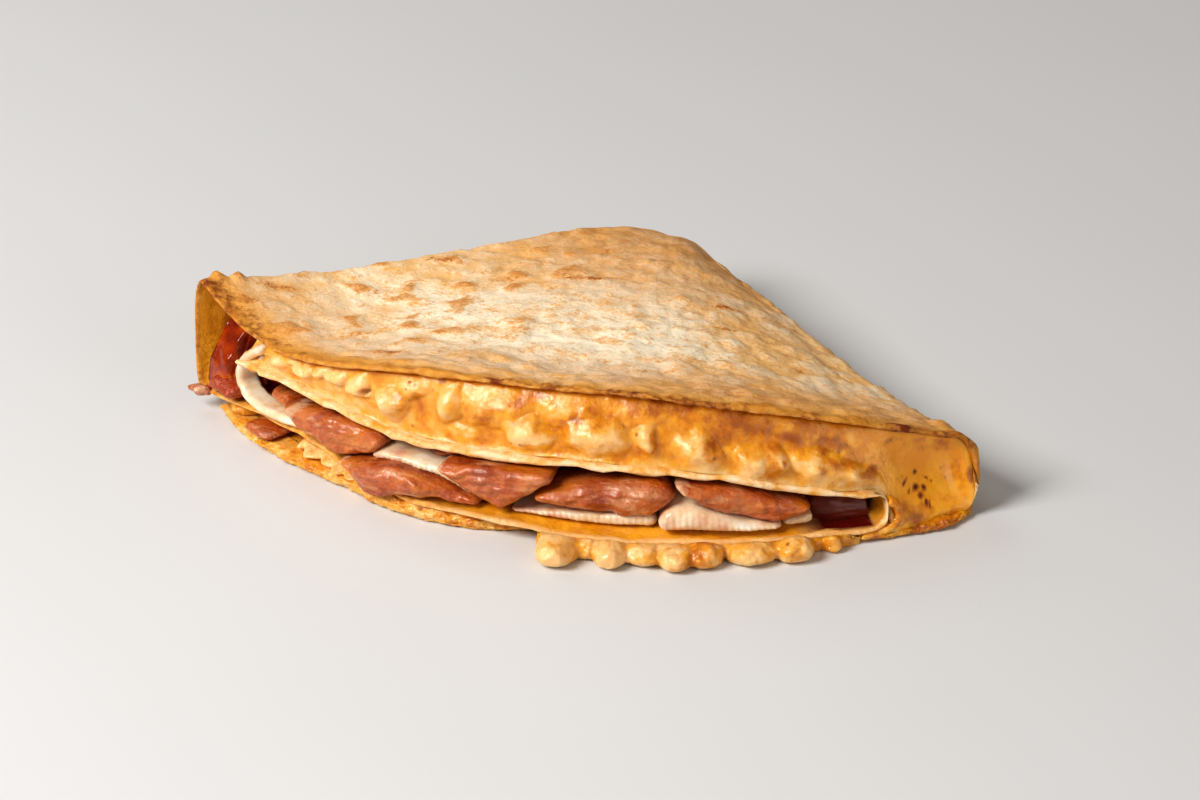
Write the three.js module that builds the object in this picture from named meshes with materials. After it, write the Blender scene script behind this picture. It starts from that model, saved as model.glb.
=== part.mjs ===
// A toasted bacon wrap. One round tortilla is slit from its middle to its rim, filled by quarters and folded
// quarter over quarter, so that a single sheet winds through four layers: bottom, lower, upper and top.
// Sizes are in millimetres. Angles are in degrees about the folded tip (the tortilla's middle), measured from
// the front (-Y) and positive to the right (+X); a radius is the distance from the tip.
import * as THREE from "three";

const { lerp, clamp, smoothstep, degToRad, radToDeg } = THREE.MathUtils;

// ---- Driving sizes ----
const RIM = 125; // the flat tortilla's radius
const SHEET = 1.8; // its thickness
const CLEAR = 0.35; // air left between pieces that touch
const INNERMOST = 2; // the folds start this far from the tip
const TIP = { x: 2.2, y: 68.6 }; // the tip's place, which centres the part's box on the origin
const FOLD = { left: -49, right: 46, inner: 35.2 }; // the outermost line of each fold
const SLIT = { upper: -41.3, bottom: -45.6 }; // the two free edges of the slit
const THIN_TIP = 0.45; // the pinched sheet's share of its thickness at the tip
const PINCHED_TO = 18; // radius at which the sheet has its full thickness
const NOSE = { height: 9, apart: 1.4, reach: 14 }; // at the tip the four layers close up round this height

// A smooth curve y(x) through a few [x, y] knots, level beyond its ends.
function through(...knots) {
  const last = knots.length - 1;
  const slope = (i) => {
    const [x0, y0] = knots[Math.max(i - 1, 0)];
    const [x1, y1] = knots[Math.min(i + 1, last)];
    return (y1 - y0) / (x1 - x0);
  };
  return (x) => {
    if (x <= knots[0][0]) return knots[0][1];
    if (x >= knots[last][0]) return knots[last][1];
    const i = knots.findIndex(([knot]) => knot > x) - 1;
    const [x0, y0] = knots[i];
    const [x1, y1] = knots[i + 1];
    const span = x1 - x0;
    const t = (x - x0) / span;
    const bend = t * (1 - t) * span;
    return lerp(y0, y1, t * t * (3 - 2 * t)) + bend * ((1 - t) * slope(i) - t * slope(i + 1));
  };
}

function place(angle, radius, height) {
  const turn = degToRad(angle);
  return new THREE.Vector3(TIP.x + radius * Math.sin(turn), TIP.y - radius * Math.cos(turn), height);
}

const degreesAcross = (length, radius) => radToDeg(length / radius);

// ---- The sheet's four layers: rim radius by angle, and height of the middle of the sheet ----
const rim = {
  top: through(
    [-47, 122.5], [-38, 121], [-25, 121], [-5, 117], [16, 117.5], [27, 119], [42, 121.5], [46, 124],
  ),
  upper: through([-41, 121], [0, 122], [18, 123], [34, 126]),
  lower: through([-47, 123.5], [-37, 119.5], [-27, 120], [-18, 125], [36, 126.5]),
  bottom: through(
    [-45, 121.2], [-34, 121.8], [-23, 121.8], [-16, 124.4], [-6, 123.5], [8, 115], [32, 115], [41, 124],
  ),
};

// The top layer's height by radius, before its dip at the left and its fall to the right.
const crown = through(
  [2, 11.1], [3.5, 15.2], [5.5, 17.6], [10, 19.7], [16, 21.3],
  [28, 23.3], [60, 25.3], [95, 28.6], [125, 35.8],
);
const LEFT_DIP = { angle: -35, share: 0.28, leftWidth: 14, rightWidth: 18 };
const RIGHT_FALL = { from: 5, to: 42.5, share: 0.44, power: 1.8 };
// How much of the right fall there is, by radius.
const shoulder = through(
  [2, 0], [15, 0.7], [26, 0.77], [38, 0.76], [50, 0.83], [65, 0.95], [85, 1.05], [105, 1.06], [120, 1],
);
const lowerGapInside = through([INNERMOST, 0.4], [12, 0.9], [35, 2.4]);
const lowerGapAtRim = through([-47, 2], [-36, 3.3], [-26, 3.2], [-18, 2.2], [-8, 1.5], [5, 1.3]);
const pocketAtRim = through(
  [-41, 9.2], [-31, 10.9], [-18, 10.3], [-10, 10.8], [2, 12.6],
  [10, 12.2], [17, 11.3], [22, 9.5], [27, 7.1], [34, 4.7],
);
const POCKET_POWER = 0.8; // how the filled pocket opens from the tip to the rim
const DROOP = { depth: 1.15, fromAngle: -3, toAngle: 7, fromRadius: 115.5 }; // the lower rim sags in front

const thickness = (radius) => SHEET * lerp(THIN_TIP, 1, smoothstep(radius, INNERMOST, PINCHED_TO));

const layer = {
  bottom: (angle, radius) => closeUp(-1.5, radius, thickness(radius) / 2),
  lower: (angle, radius) => closeUp(-0.5, radius, levelOfLower(angle, radius) - droop(angle, radius)),
  upper: (angle, radius) => {
    const opening = ((radius - INNERMOST) / (RIM - INNERMOST)) ** POCKET_POWER;
    const pocket = lerp(CLEAR, pocketAtRim(angle), opening);
    return closeUp(0.5, radius, levelOfLower(angle, radius) + thickness(radius) + pocket);
  },
  top: (angle, radius) => crown(radius) * (1 - leftDip(angle, radius) - rightFall(angle, radius)),
};

// Towards the tip a layer's height turns to its place in the nose, counted from the nose's middle.
function closeUp(rank, radius, height) {
  return lerp(NOSE.height + rank * NOSE.apart, height, smoothstep(radius, INNERMOST, NOSE.reach));
}

function levelOfLower(angle, radius) {
  const outward = smoothstep(radius, RIM / 2, RIM);
  return 1.5 * thickness(radius) + lerp(lowerGapInside(radius), lowerGapAtRim(angle), outward);
}

function droop(angle, radius) {
  const sagging = smoothstep(angle, DROOP.fromAngle, DROOP.toAngle);
  return DROOP.depth * sagging * smoothstep(radius, DROOP.fromRadius, RIM);
}

function leftDip(angle, radius) {
  const away = angle - LEFT_DIP.angle;
  const width = away < 0 ? LEFT_DIP.leftWidth : LEFT_DIP.rightWidth;
  return LEFT_DIP.share * (radius / RIM) ** 2 * Math.exp(-((away / width) ** 2));
}

function rightFall(angle, radius) {
  const way = Math.max(0, (angle - RIGHT_FALL.from) / (RIGHT_FALL.to - RIGHT_FALL.from));
  return RIGHT_FALL.share * way ** RIGHT_FALL.power * shoulder(radius);
}

const above = (name, angle, radius) => layer[name](angle, radius) + thickness(radius) / 2 + CLEAR;
const below = (name, angle, radius) => layer[name](angle, radius) - thickness(radius) / 2 - CLEAR;

// ---- The folds that join the layers, each a rounded turn about a line from the tip ----
const bulge = {
  left: (radius) => 0.8 + 3 * (radius / RIM) ** 0.6,
  right: (radius) => 0.8 + 5.7 * (radius / RIM) ** 0.6,
  inner: (radius) => 0.4 + 2.6 * (radius / RIM),
};
const SQUARENESS = { left: 2.6, right: 2.15, inner: 2.6 }; // 2 is an ellipse, more is squarer

// The inner fold and the slit's edge keep clear of the outer folds, which matters only close to the tip.
const insetNearTip = (radius) => degreesAcross(thickness(radius) + CLEAR + 0.2, radius);
const foldLine = {
  left: () => FOLD.left,
  right: () => FOLD.right,
  inner: (radius) => Math.min(FOLD.inner, FOLD.right - insetNearTip(radius)),
};
const foldStart = {
  left: (radius) => FOLD.left + degreesAcross(bulge.left(radius), radius),
  right: (radius) => FOLD.right - degreesAcross(bulge.right(radius), radius),
  inner: (radius) => foldLine.inner(radius) - degreesAcross(bulge.inner(radius), radius),
};
const slitEdge = {
  upper: (radius) => Math.max(SLIT.upper, FOLD.left + insetNearTip(radius)),
  bottom: () => SLIT.bottom,
};

const power = (value, exponent) => Math.sign(value) * Math.abs(value) ** exponent;

// Stations are functions of the way along the sheet's radius (0 tip, 1 rim) that give the sheet's middle.
function layerStations(name, from, to, count) {
  return Array.from({ length: count + 1 }, (_, i) => (way) => {
    const share = i / count;
    const edge = rim[name](lerp(from(RIM), to(RIM), share));
    const radius = lerp(INNERMOST, edge, way);
    const angle = lerp(from(radius), to(radius), share);
    return { angle, radius, height: layer[name](angle, radius) };
  });
}

function foldStations(fold, fromLayer, toLayer, count) {
  const side = fold === "left" ? -1 : 1;
  return Array.from({ length: count - 1 }, (_, i) => (way) => {
    const turn = Math.PI * ((i + 1) / count);
    const share = (1 - Math.cos(turn)) / 2;
    const edge = lerp(rim[fromLayer](foldStart[fold](RIM)), rim[toLayer](foldStart[fold](RIM)), share);
    const radius = lerp(INNERMOST, edge, way);
    const start = foldStart[fold](radius);
    const ends = [layer[fromLayer](start, radius), layer[toLayer](start, radius)];
    const outward = bulge[fold](radius) * power(Math.sin(turn), 2 / SQUARENESS[fold]);
    const rise = power(Math.cos(turn), 2 / SQUARENESS[fold]);
    const height = (ends[0] + ends[1]) / 2 + (rise * (ends[0] - ends[1])) / 2;
    return { angle: start + side * degreesAcross(outward, radius), radius, height };
  });
}

// ---- Solids ----
// A closed solid through loops of points, as a skin over ribs. Each loop runs outward along one face and back
// along the other, so each end is closed by a ladder of faces between the loop's two halves.
function loft(loops) {
  const size = loops[0].length;
  const lastLoop = (loops.length - 1) * size;
  const index = [];
  const quad = (a, b, c, d) => index.push(a, b, c, a, c, d);
  for (let start = 0; start < lastLoop; start += size) {
    for (let k = 0; k < size; k++) {
      const next = (k + 1) % size;
      quad(start + k, start + size + k, start + size + next, start + next);
    }
  }
  for (let k = 0; k < size / 2 - 1; k++) {
    quad(k, k + 1, size - 2 - k, size - 1 - k);
    quad(lastLoop + k, lastLoop + size - 1 - k, lastLoop + size - 2 - k, lastLoop + k + 1);
  }
  const geometry = new THREE.BufferGeometry().setFromPoints(loops.flat());
  geometry.setIndex(index);
  geometry.computeVertexNormals();
  return geometry;
}

const group = new THREE.Group();

function addNode(name, geometry, color, roughness) {
  const mesh = new THREE.Mesh(geometry, new THREE.MeshStandardMaterial({ color, roughness, metalness: 0 }));
  mesh.name = name;
  group.add(mesh);
}

const COLOR = { tortilla: 0xd9b280, cheese: 0xe8b04a, sauce: 0x6b1a0c, bacon: 0xb4654c, onion: 0xe6d3bd };

// ---- Tortilla ----
const RINGS = [0, 0.013, 0.03, 0.065, 0.12, 0.2, 0.3, 0.44, 0.58, 0.72, 0.84, 0.92, 0.97, 1];

function sheetLoops() {
  const stations = [
    ...layerStations("upper", slitEdge.upper, foldStart.inner, 11),
    ...foldStations("inner", "upper", "lower", 5),
    ...layerStations("lower", foldStart.inner, foldStart.left, 11),
    ...foldStations("left", "lower", "top", 7),
    ...layerStations("top", foldStart.left, foldStart.right, 15),
    ...foldStations("right", "top", "bottom", 7),
    ...layerStations("bottom", foldStart.right, slitEdge.bottom, 12),
  ];
  const middles = stations.map((station) => RINGS.map(station));
  const points = middles.map((row) => row.map((m) => place(m.angle, m.radius, m.height)));
  const at = (i, j) => points[clamp(i, 0, points.length - 1)][clamp(j, 0, RINGS.length - 1)];
  const normal = (i, j) => {
    const across = at(i + 1, j).clone().sub(at(i - 1, j));
    const outward = at(i, j + 1).clone().sub(at(i, j - 1));
    return across.cross(outward).normalize();
  };
  return points.map((row, i) => {
    const half = (j) => normal(i, j).multiplyScalar(thickness(middles[i][j].radius) / 2);
    const faceA = row.map((point, j) => point.clone().add(half(j)));
    const faceB = row.map((point, j) => point.clone().sub(half(j)));
    return [...faceA, ...faceB.reverse()];
  });
}

addNode("tortilla", loft(sheetLoops()), COLOR.tortilla, 0.75);

// ---- Layers of filling: solids between a floor and a ceiling, with a rounded front face ----
// A column gives, at one angle, its back and front radii, floor(radius), ceiling(radius) and bulging(way up).
const BODY_RINGS = [0, 0.12, 0.25, 0.5, 0.75, 0.92, 1];

function fillingLoop(angle, column, frontRows) {
  const { back, frontLow, frontHigh, floor, ceiling, bulging } = column;
  const face = (front, height) =>
    BODY_RINGS.map((way) => {
      const radius = lerp(back, front, way);
      return place(angle, radius, height(radius));
    });
  const front = Array.from({ length: frontRows }, (_, k) => {
    const way = (k + 1) / (frontRows + 1);
    const radius = lerp(frontLow, frontHigh, way) + bulging(way);
    return place(angle, radius, lerp(floor(frontLow), ceiling(frontHigh), way));
  });
  return [...face(frontLow, floor), ...front, ...face(frontHigh, ceiling).reverse()];
}

function anglesBetween(from, to, count) {
  return Array.from({ length: count + 1 }, (_, i) => lerp(from, to, i / count));
}

// The inner face of an outer fold and of the layers it joins, as a height on the upper (half 1) or lower
// (half -1) side.
const WALL_MARGIN = 0.4;

function insideFold(fold, angle, radius, half) {
  const side = fold === "left" ? -1 : 1;
  const start = foldStart[fold](radius);
  const past = Math.max(0, side * degToRad(angle - start) * radius);
  const joined = past > 0 ? start : angle;
  const top = layer.top(joined, radius);
  const bottom = layer[fold === "left" ? "lower" : "bottom"](joined, radius);
  const wall = thickness(radius) / 2 + CLEAR;
  const share = clamp(past / (bulge[fold](radius) - wall), 0, 0.97);
  const reach = (1 - share ** SQUARENESS[fold]) ** (1 / SQUARENESS[fold]);
  return (top + bottom) / 2 + half * ((top - bottom) / 2 - wall - (share > 0 ? WALL_MARGIN : 0)) * reach;
}

// Close to the tip a fold's wall takes up more of the angle, so a filling next to it starts further out.
function clearOfFold(fold, angle) {
  return (SHEET / 2 + CLEAR + WALL_MARGIN) / degToRad(Math.abs(FOLD[fold] - angle));
}

// ---- Upper cheese: between the upper and the top layer, round the inner fold and into the right fold ----
const UPPER_CHEESE = {
  ...{ back: 34, left: -39.4, right: 44.4, aroundInnerFold: [32.6, 37.6] },
  ...{ behindRim: 1.6, underTop: 3, air: 0.15, frontRows: 4 },
};
const LUMPS = [
  { angle: -31, level: 0.55, size: 6, out: 2.2 },
  { angle: -22, level: 0.5, size: 5, out: 2.4 },
  { angle: -17, level: 0.45, size: 5, out: 2.4 },
  { angle: -10, level: 0.45, size: 6, out: 2.2 },
  { angle: -3, level: 0.3, size: 5, out: 2.4 },
  { angle: 5, level: 0.4, size: 7, out: 2 },
  { angle: 13, level: 0.45, size: 6, out: 1.8 },
  { angle: 23.5, level: 0.35, size: 6, out: 2.6 },
  { angle: 31, level: 0.3, size: 5.5, out: 2.2 },
];
const CHEESE_FACE = { bulge: 1.2, rise: 12 }; // the front face's plain swell, and its usual height
const recessInFold = through([31.5, 0], [36.5, 0.7], [40, 1.8], [43.2, 2.7], [45, 2.3]);
const inFold = (angle) => smoothstep(angle, 31, 36.6); // the cheese lies smooth in the right fold

function lumpiness(angle, way) {
  const swells = LUMPS.map(({ angle: middle, level, size, out }) => {
    const across = degToRad(angle - middle) * RIM;
    const up = (way - level) * CHEESE_FACE.rise;
    return out * Math.exp(-(across ** 2 + up ** 2) / (size / 1.6) ** 2);
  });
  return (CHEESE_FACE.bulge + Math.max(...swells)) * Math.sin(Math.PI * way);
}

// Past the outside of the inner fold, how much clearance the floor keeps and how steeply it then goes down.
const ROUND_FOLD = 1.6;
const BESIDE_FOLD = 4;

// The floor runs over the upper layer, round the outside of the inner fold and down to the bottom layer.
function upperCheeseFloor(angle, radius) {
  const start = foldStart.inner(radius);
  const past = degToRad(angle - start) * radius;
  if (past <= 0) return above("upper", angle, radius);
  const middle = (layer.upper(start, radius) + layer.lower(start, radius)) / 2;
  const share = past / (bulge.inner(radius) + thickness(radius) / 2 + ROUND_FOLD * CLEAR);
  const overFold = (above("upper", start, radius) - middle) * Math.sqrt(Math.max(0, 1 - share ** 2));
  const besideFold = Math.max(0, share - 1) * BESIDE_FOLD * middle;
  const height = Math.max(middle + overFold - besideFold, above("bottom", angle, radius));
  return Math.max(height, insideFold("right", angle, radius, -1));
}

function upperCheeseColumn(angle) {
  const recess = recessInFold(angle);
  return {
    back: Math.max(UPPER_CHEESE.back, clearOfFold("right", angle)),
    frontLow: rim.upper(angle) - UPPER_CHEESE.behindRim - recess,
    frontHigh: rim.top(angle) - UPPER_CHEESE.underTop - recess,
    floor: (radius) => upperCheeseFloor(angle, radius),
    ceiling: (radius) => insideFold("right", angle, radius, 1) - UPPER_CHEESE.air,
    bulging: (way) => lumpiness(angle, way) * (1 - inFold(angle)),
  };
}

function upperCheeseLoops() {
  const [beforeFold, afterFold] = UPPER_CHEESE.aroundInnerFold;
  const angles = [
    ...anglesBetween(UPPER_CHEESE.left, beforeFold, 29),
    ...anglesBetween(beforeFold + 0.6, afterFold, 7),
    ...anglesBetween(afterFold + 1.2, UPPER_CHEESE.right, 4),
  ];
  return angles.map((angle) => fillingLoop(angle, upperCheeseColumn(angle), UPPER_CHEESE.frontRows));
}

addNode("cheese_upper", loft(upperCheeseLoops()), COLOR.cheese, 0.35);

// ---- Lower cheese: between the bottom and the lower layer, squeezed out in front as drops ----
const LOWER_CHEESE = { back: 30, left: -44, dropsFrom: 0.4, right: 31.8, behindRim: 1.5 };
const DROPS = [
  { angle: 2.7, reach: 10, width: 9.4, tall: 5.4 },
  { angle: 5.6, reach: 5.4, width: 6, tall: 4 },
  { angle: 7.8, reach: 9.2, width: 7.6, tall: 4.8 },
  { angle: 11.3, reach: 7.2, width: 12.5, tall: 4.4 },
  { angle: 14.9, reach: 9.4, width: 9, tall: 4.8 },
  { angle: 17, reach: 7.6, width: 9, tall: 4.8 },
  { angle: 20.8, reach: 6.6, width: 13, tall: 4.4 },
  { angle: 25.4, reach: 6.8, width: 10, tall: 5 },
  { angle: 29.3, reach: 3.2, width: 4.4, tall: 3.2 },
];
const CRUST = { reach: 1.8, tall: 1.6 }; // what shows between the drops
const OVER_STEP = 1.9; // how far out of the bottom layer's edge it steps down
const BACON_END = { left: -38.4, right: -33.6, back: 112, front: 122.3, low: 2.3, high: 4.3 };
const HOLLOW = { beside: 1, slope: 2, deep: 12 }; // the room for that end: degrees beside it, and depth

// How far the cheese stands out of the rim, and how high.
function squeezedOut(angle) {
  return DROPS.reduce((out, drop) => {
    const across = (2 * degToRad(angle - drop.angle) * RIM) / drop.width;
    const swell = Math.sqrt(Math.max(0, 1 - across ** 2));
    return { reach: Math.max(out.reach, drop.reach * swell), tall: Math.max(out.tall, drop.tall * swell) };
  }, CRUST);
}

// Behind the rim the cheese is a thin layer, hollowed where the end of a bacon slice lies in it.
function layerOfLowerCheese(angle) {
  const hollowFrom = BACON_END.left - HOLLOW.beside;
  const hollowTo = BACON_END.right + HOLLOW.beside;
  const starts = smoothstep(angle, hollowFrom - HOLLOW.slope, hollowFrom);
  const hollow = starts - smoothstep(angle, hollowTo, hollowTo + HOLLOW.slope);
  const drops = smoothstep(angle, LOWER_CHEESE.dropsFrom - 4.4, LOWER_CHEESE.dropsFrom - 1);
  const behindRim = lerp(LOWER_CHEESE.behindRim, -OVER_STEP, drops);
  const front = Math.min(rim.bottom(angle), rim.lower(angle)) - lerp(behindRim, HOLLOW.deep, hollow);
  const radii = [0, 0.35, 0.7, 0.97].map((way) => lerp(LOWER_CHEESE.back, front, way));
  const face = (height, opposite) => [
    ...radii.map((radius) => place(angle, radius, height(radius))),
    ...[0, 0.15, 0.3].map((share) => place(angle, front, lerp(height(front), opposite(front), share))),
  ];
  const floor = (radius) => above("bottom", angle, radius);
  const ceiling = (radius) => below("lower", angle, radius);
  return [...face(floor, ceiling), ...face(ceiling, floor).reverse()];
}

// In front it steps down off the bottom layer's edge, passes under the lower layer's rim and swells out.
function squeezedLowerCheese(angle) {
  const step = rim.bottom(angle) + OVER_STEP;
  const edge = rim.lower(angle) + CLEAR;
  const { reach, tall } = squeezedOut(angle);
  const tip = edge + reach;
  const radii = [0, 0.35, 0.7, 1].map((way) => lerp(LOWER_CHEESE.back, step - CLEAR, way));
  const lower = [
    ...radii.map((radius) => place(angle, radius, above("bottom", angle, radius))),
    place(angle, step, 0),
    place(angle, lerp(edge, tip, 0.55), 0),
    place(angle, tip - 0.2, 0.25 * tall),
  ];
  const upper = [
    ...radii.slice(0, 3).map((radius) => place(angle, radius, below("lower", angle, radius))),
    place(angle, step, below("lower", angle, step)),
    place(angle, edge, below("lower", angle, edge)),
    place(angle, lerp(edge, tip, 0.35), tall),
    place(angle, tip, 0.55 * tall),
  ];
  return [...lower, ...upper.reverse()];
}

function lowerCheeseLoops() {
  return [
    ...anglesBetween(LOWER_CHEESE.left, LOWER_CHEESE.dropsFrom - 0.5, 18).map(layerOfLowerCheese),
    ...anglesBetween(LOWER_CHEESE.dropsFrom, LOWER_CHEESE.right, 40).map(squeezedLowerCheese),
  ];
}

addNode("cheese_lower", loft(lowerCheeseLoops()), COLOR.cheese, 0.4);

// ---- Sauce: a film on the lower layer that fills the left fold and the right end of the pocket ----
const SAUCE = { back: 24, film: 0.8, left: -46.9, right: 31.9, topMargin: 0.2 };
const leftPool = (angle) => 1 - smoothstep(angle, -43.8, -43.2);
const rightPool = (angle) => smoothstep(angle, 27.4, 28.2);
const sauceFront = through([-47, 112.5], [-38, 112.5], [-33, 110], [26, 112], [29, 118], [34, 120]);

function sauceColumn(angle) {
  const filled = Math.max(leftPool(angle), rightPool(angle));
  const floor = (radius) => insideFold("left", angle, radius, -1);
  const roof = (radius) => (angle < 0 ? insideFold("left", angle, radius, 1) : below("upper", angle, radius));
  return {
    back: Math.max(SAUCE.back, clearOfFold("left", angle)),
    frontLow: sauceFront(angle),
    frontHigh: sauceFront(angle) - 3 * filled,
    floor,
    ceiling: (radius) => lerp(floor(radius) + SAUCE.film, roof(radius) - SAUCE.topMargin, filled),
    bulging: (way) => filled * Math.sin(Math.PI * way),
  };
}

function sauceLoops() {
  const angles = [
    ...[SAUCE.left, -45.9, -44.9, -43.9, -43.5, -43.1],
    ...anglesBetween(-41, 26, 16),
    ...[27.3, 27.8, 28.3, 29.5, 30.7, SAUCE.right],
  ];
  return angles.map((angle) => fillingLoop(angle, sauceColumn(angle), 2));
}

addNode("sauce", loft(sauceLoops()), COLOR.sauce, 0.2);

// ---- Bacon and onion: slices that run inward from the front of the pocket ----
// Heights are given at this radius; further in they keep their share of the pocket as it closes.
const FRONT = 121;
const onLower = (angle) => above("lower", angle, FRONT) + 0.1;

function inPocket(heightInFront, angle, radius) {
  const floorInFront = above("lower", angle, FRONT);
  const share = (heightInFront - floorInFront) / (below("upper", angle, FRONT) - floorInFront);
  const floor = above("lower", angle, radius) + SAUCE.film + CLEAR;
  return lerp(floor, below("upper", angle, radius), clamp(share, 0, 1));
}

// A slice lies between low and high, and its front edge may hang down to a lower height, as a flap.
const SLICE_RINGS = [0, 0.35, 0.7, 1];
const BEHIND_FLAP = 6;

function sliceLoop(angle, { back, front, low, high, hang = low, flap = 2.4 }) {
  const top = high(angle);
  const under = low(angle);
  const foot = Math.min(under, hang(angle));
  const flapBack = front - flap;
  const face = (height) =>
    SLICE_RINGS.map((way) => {
      const radius = lerp(back, flapBack - BEHIND_FLAP, way);
      return place(angle, radius, inPocket(height, angle, radius));
    });
  const underside = [
    ...face(under),
    place(angle, flapBack, under),
    place(angle, flapBack + 0.1, foot),
    place(angle, front - 0.5, foot),
  ];
  const upside = [
    ...face(top),
    place(angle, flapBack, top),
    place(angle, front - 0.3 * flap, top - 0.1 * (top - foot)),
    place(angle, front, lerp(foot, top, 0.55)),
  ];
  return [...underside, ...upside.reverse()];
}

function slice(name, color, roughness, shape) {
  const loops = anglesBetween(shape.left, shape.right, shape.steps).map((angle) => sliceLoop(angle, shape));
  addNode(name, loft(loops), color, roughness);
}

// The flap of the folded slice comes down to a corner, whose left edge is longer than its right one.
const CORNER = { angle: -3.9, height: 6.4, leftSlope: 1.0, rightSlope: 1.6 };

function cornerFlap(angle) {
  const away = angle - CORNER.angle;
  return CORNER.height + Math.abs(away) * (away < 0 ? CORNER.leftSlope : CORNER.rightSlope);
}

const BACON = [
  {
    ...{ left: -30, right: -19.4, steps: 5, back: 48, front: 121.5 },
    high: through([-30, 13.2], [-25, 14.5], [-19.4, 14.9]),
    low: through([-30, 11.8], [-19.4, 11.8]),
    hang: through([-30, 11.4], [-26, 8.3], [-19.4, 8.4]),
  },
  {
    ...{ left: -23.5, right: -7, steps: 7, back: 50, front: 123.2 },
    high: through([-23.5, 7.7], [-19.6, 7.8], [-15, 9.9], [-10, 8.4], [-7, 6.6]),
    low: onLower,
  },
  {
    ...{ left: -16.5, right: -11, steps: 3, back: 52, front: 117 },
    high: () => 14.7,
    low: () => 12.6,
  },
  {
    ...{ left: -10.4, right: 1.4, steps: 6, back: 46, front: 124.6 },
    high: through([-10.4, 14.9], [1.4, 16.2]),
    low: through([-10.4, 12.5], [1.4, 13.6]),
    hang: cornerFlap,
  },
  {
    ...{ left: -0.4, right: 13.4, steps: 6, back: 44, front: 121.8 },
    high: through([-0.4, 11], [3.5, 12.9], [7.8, 14.8], [10.8, 15.3], [13.4, 13.9]),
    low: through([-0.4, 9.2], [3, 8.2], [9.8, 7.8], [11.8, 8.9], [13.4, 11.3]),
  },
  {
    ...{ left: 13.9, right: 27, steps: 6, back: 50, front: 122.6 },
    high: through([13.9, 15.5], [16, 15.1], [20.4, 13.6], [25, 11.1], [27, 9.4]),
    low: through([13.9, 14], [15.6, 11.4], [17.3, 9.4], [20.4, 7.7], [23, 6.9], [27, 7.9]),
  },
];
BACON.forEach((shape, i) => slice(`bacon_${i + 1}`, COLOR.bacon, 0.35, shape));

slice("bacon_corner", COLOR.bacon, 0.35, {
  ...{ left: -45.6, right: -41.2, steps: 2, back: 113.2, front: 122.6, flap: 2 },
  high: () => 9.4,
  low: () => 6.6,
});

function baconEnd() {
  const { left, right, back, front, low, high } = BACON_END;
  return anglesBetween(left, right, 3).map((angle) => [
    place(angle, back, low),
    place(angle, front - 0.5, low),
    place(angle, front, (low + high) / 2),
    place(angle, front - 1, high),
    place(angle, lerp(back, front, 0.5), high),
    place(angle, back, high),
  ]);
}

addNode("bacon_end", loft(baconEnd()), COLOR.bacon, 0.4);

const onion = (middle, half) => ({ high: (a) => middle(a) + half, low: (a) => middle(a) - half });
const ONIONS = [
  {
    ...{ left: -18.9, right: -3.6, steps: 8, back: 78, front: 121.5 },
    ...onion(through([-18.9, 11], [-14, 11.4], [-11, 11], [-8, 8.7], [-3.6, 6.3]), 0.8),
  },
  {
    ...{ left: -2.9, right: 11.4, steps: 5, back: 80, front: 122 },
    high: through([-2.9, 6.4], [2, 6.9], [11.4, 7.4]),
    low: onLower,
  },
  {
    ...{ left: 12.3, right: 24.4, steps: 6, back: 76, front: 122.8 },
    high: through([12.3, 7.6], [14, 8.8], [16, 8.8], [18, 7.8], [20.4, 6.8], [24.4, 5.8]),
    low: onLower,
  },
  {
    ...{ left: 24.9, right: 27, steps: 2, back: 92, front: 122.8, flap: 1.2 },
    high: () => 6.1,
    low: onLower,
  },
];
ONIONS.forEach((shape, i) => slice(`onion_${i + 2}`, COLOR.onion, 0.3, shape));

// The first onion strip hooks round the slit's edge, from under the top layer to under the upper one.
const HOOK = { back: 110, front: 119.5, half: 0.8, steps: 12 };
const HOOK_PATH = [
  [-40.7, 24], [-42.2, 19.5], [-42.6, 15.5], [-41.6, 12], [-39.3, 9.8], [-35.5, 9.5], [-31.2, 11],
];

function hookLoops() {
  const toFlat = ([angle, height]) => new THREE.Vector3(degToRad(angle) * HOOK.front, height, 0);
  const path = new THREE.CatmullRomCurve3(HOOK_PATH.map(toFlat));
  return Array.from({ length: HOOK.steps + 1 }, (_, i) => {
    const middle = path.getPoint(i / HOOK.steps);
    const along = path.getTangent(i / HOOK.steps);
    const side = (sign, radius) => {
      const across = middle.x - sign * HOOK.half * along.y;
      return place(degreesAcross(across, HOOK.front), radius, middle.y + sign * HOOK.half * along.x);
    };
    return [side(-1, HOOK.back), side(-1, HOOK.front), side(1, HOOK.front), side(1, HOOK.back)];
  });
}

addNode("onion_1", loft(hookLoops()), COLOR.onion, 0.3);

export default group;
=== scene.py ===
"""Looks of a toasted bacon wrap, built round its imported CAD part.

The wrap is one round tortilla, slit from its middle to its rim and folded in quarters over its fillings.
Sizes are in millimetres until a mesh is made. Angles are in degrees about the folded tip, measured from the
front (-Y) and positive to the right (+X); a radius is the distance from the tip.
"""

import math

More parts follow.
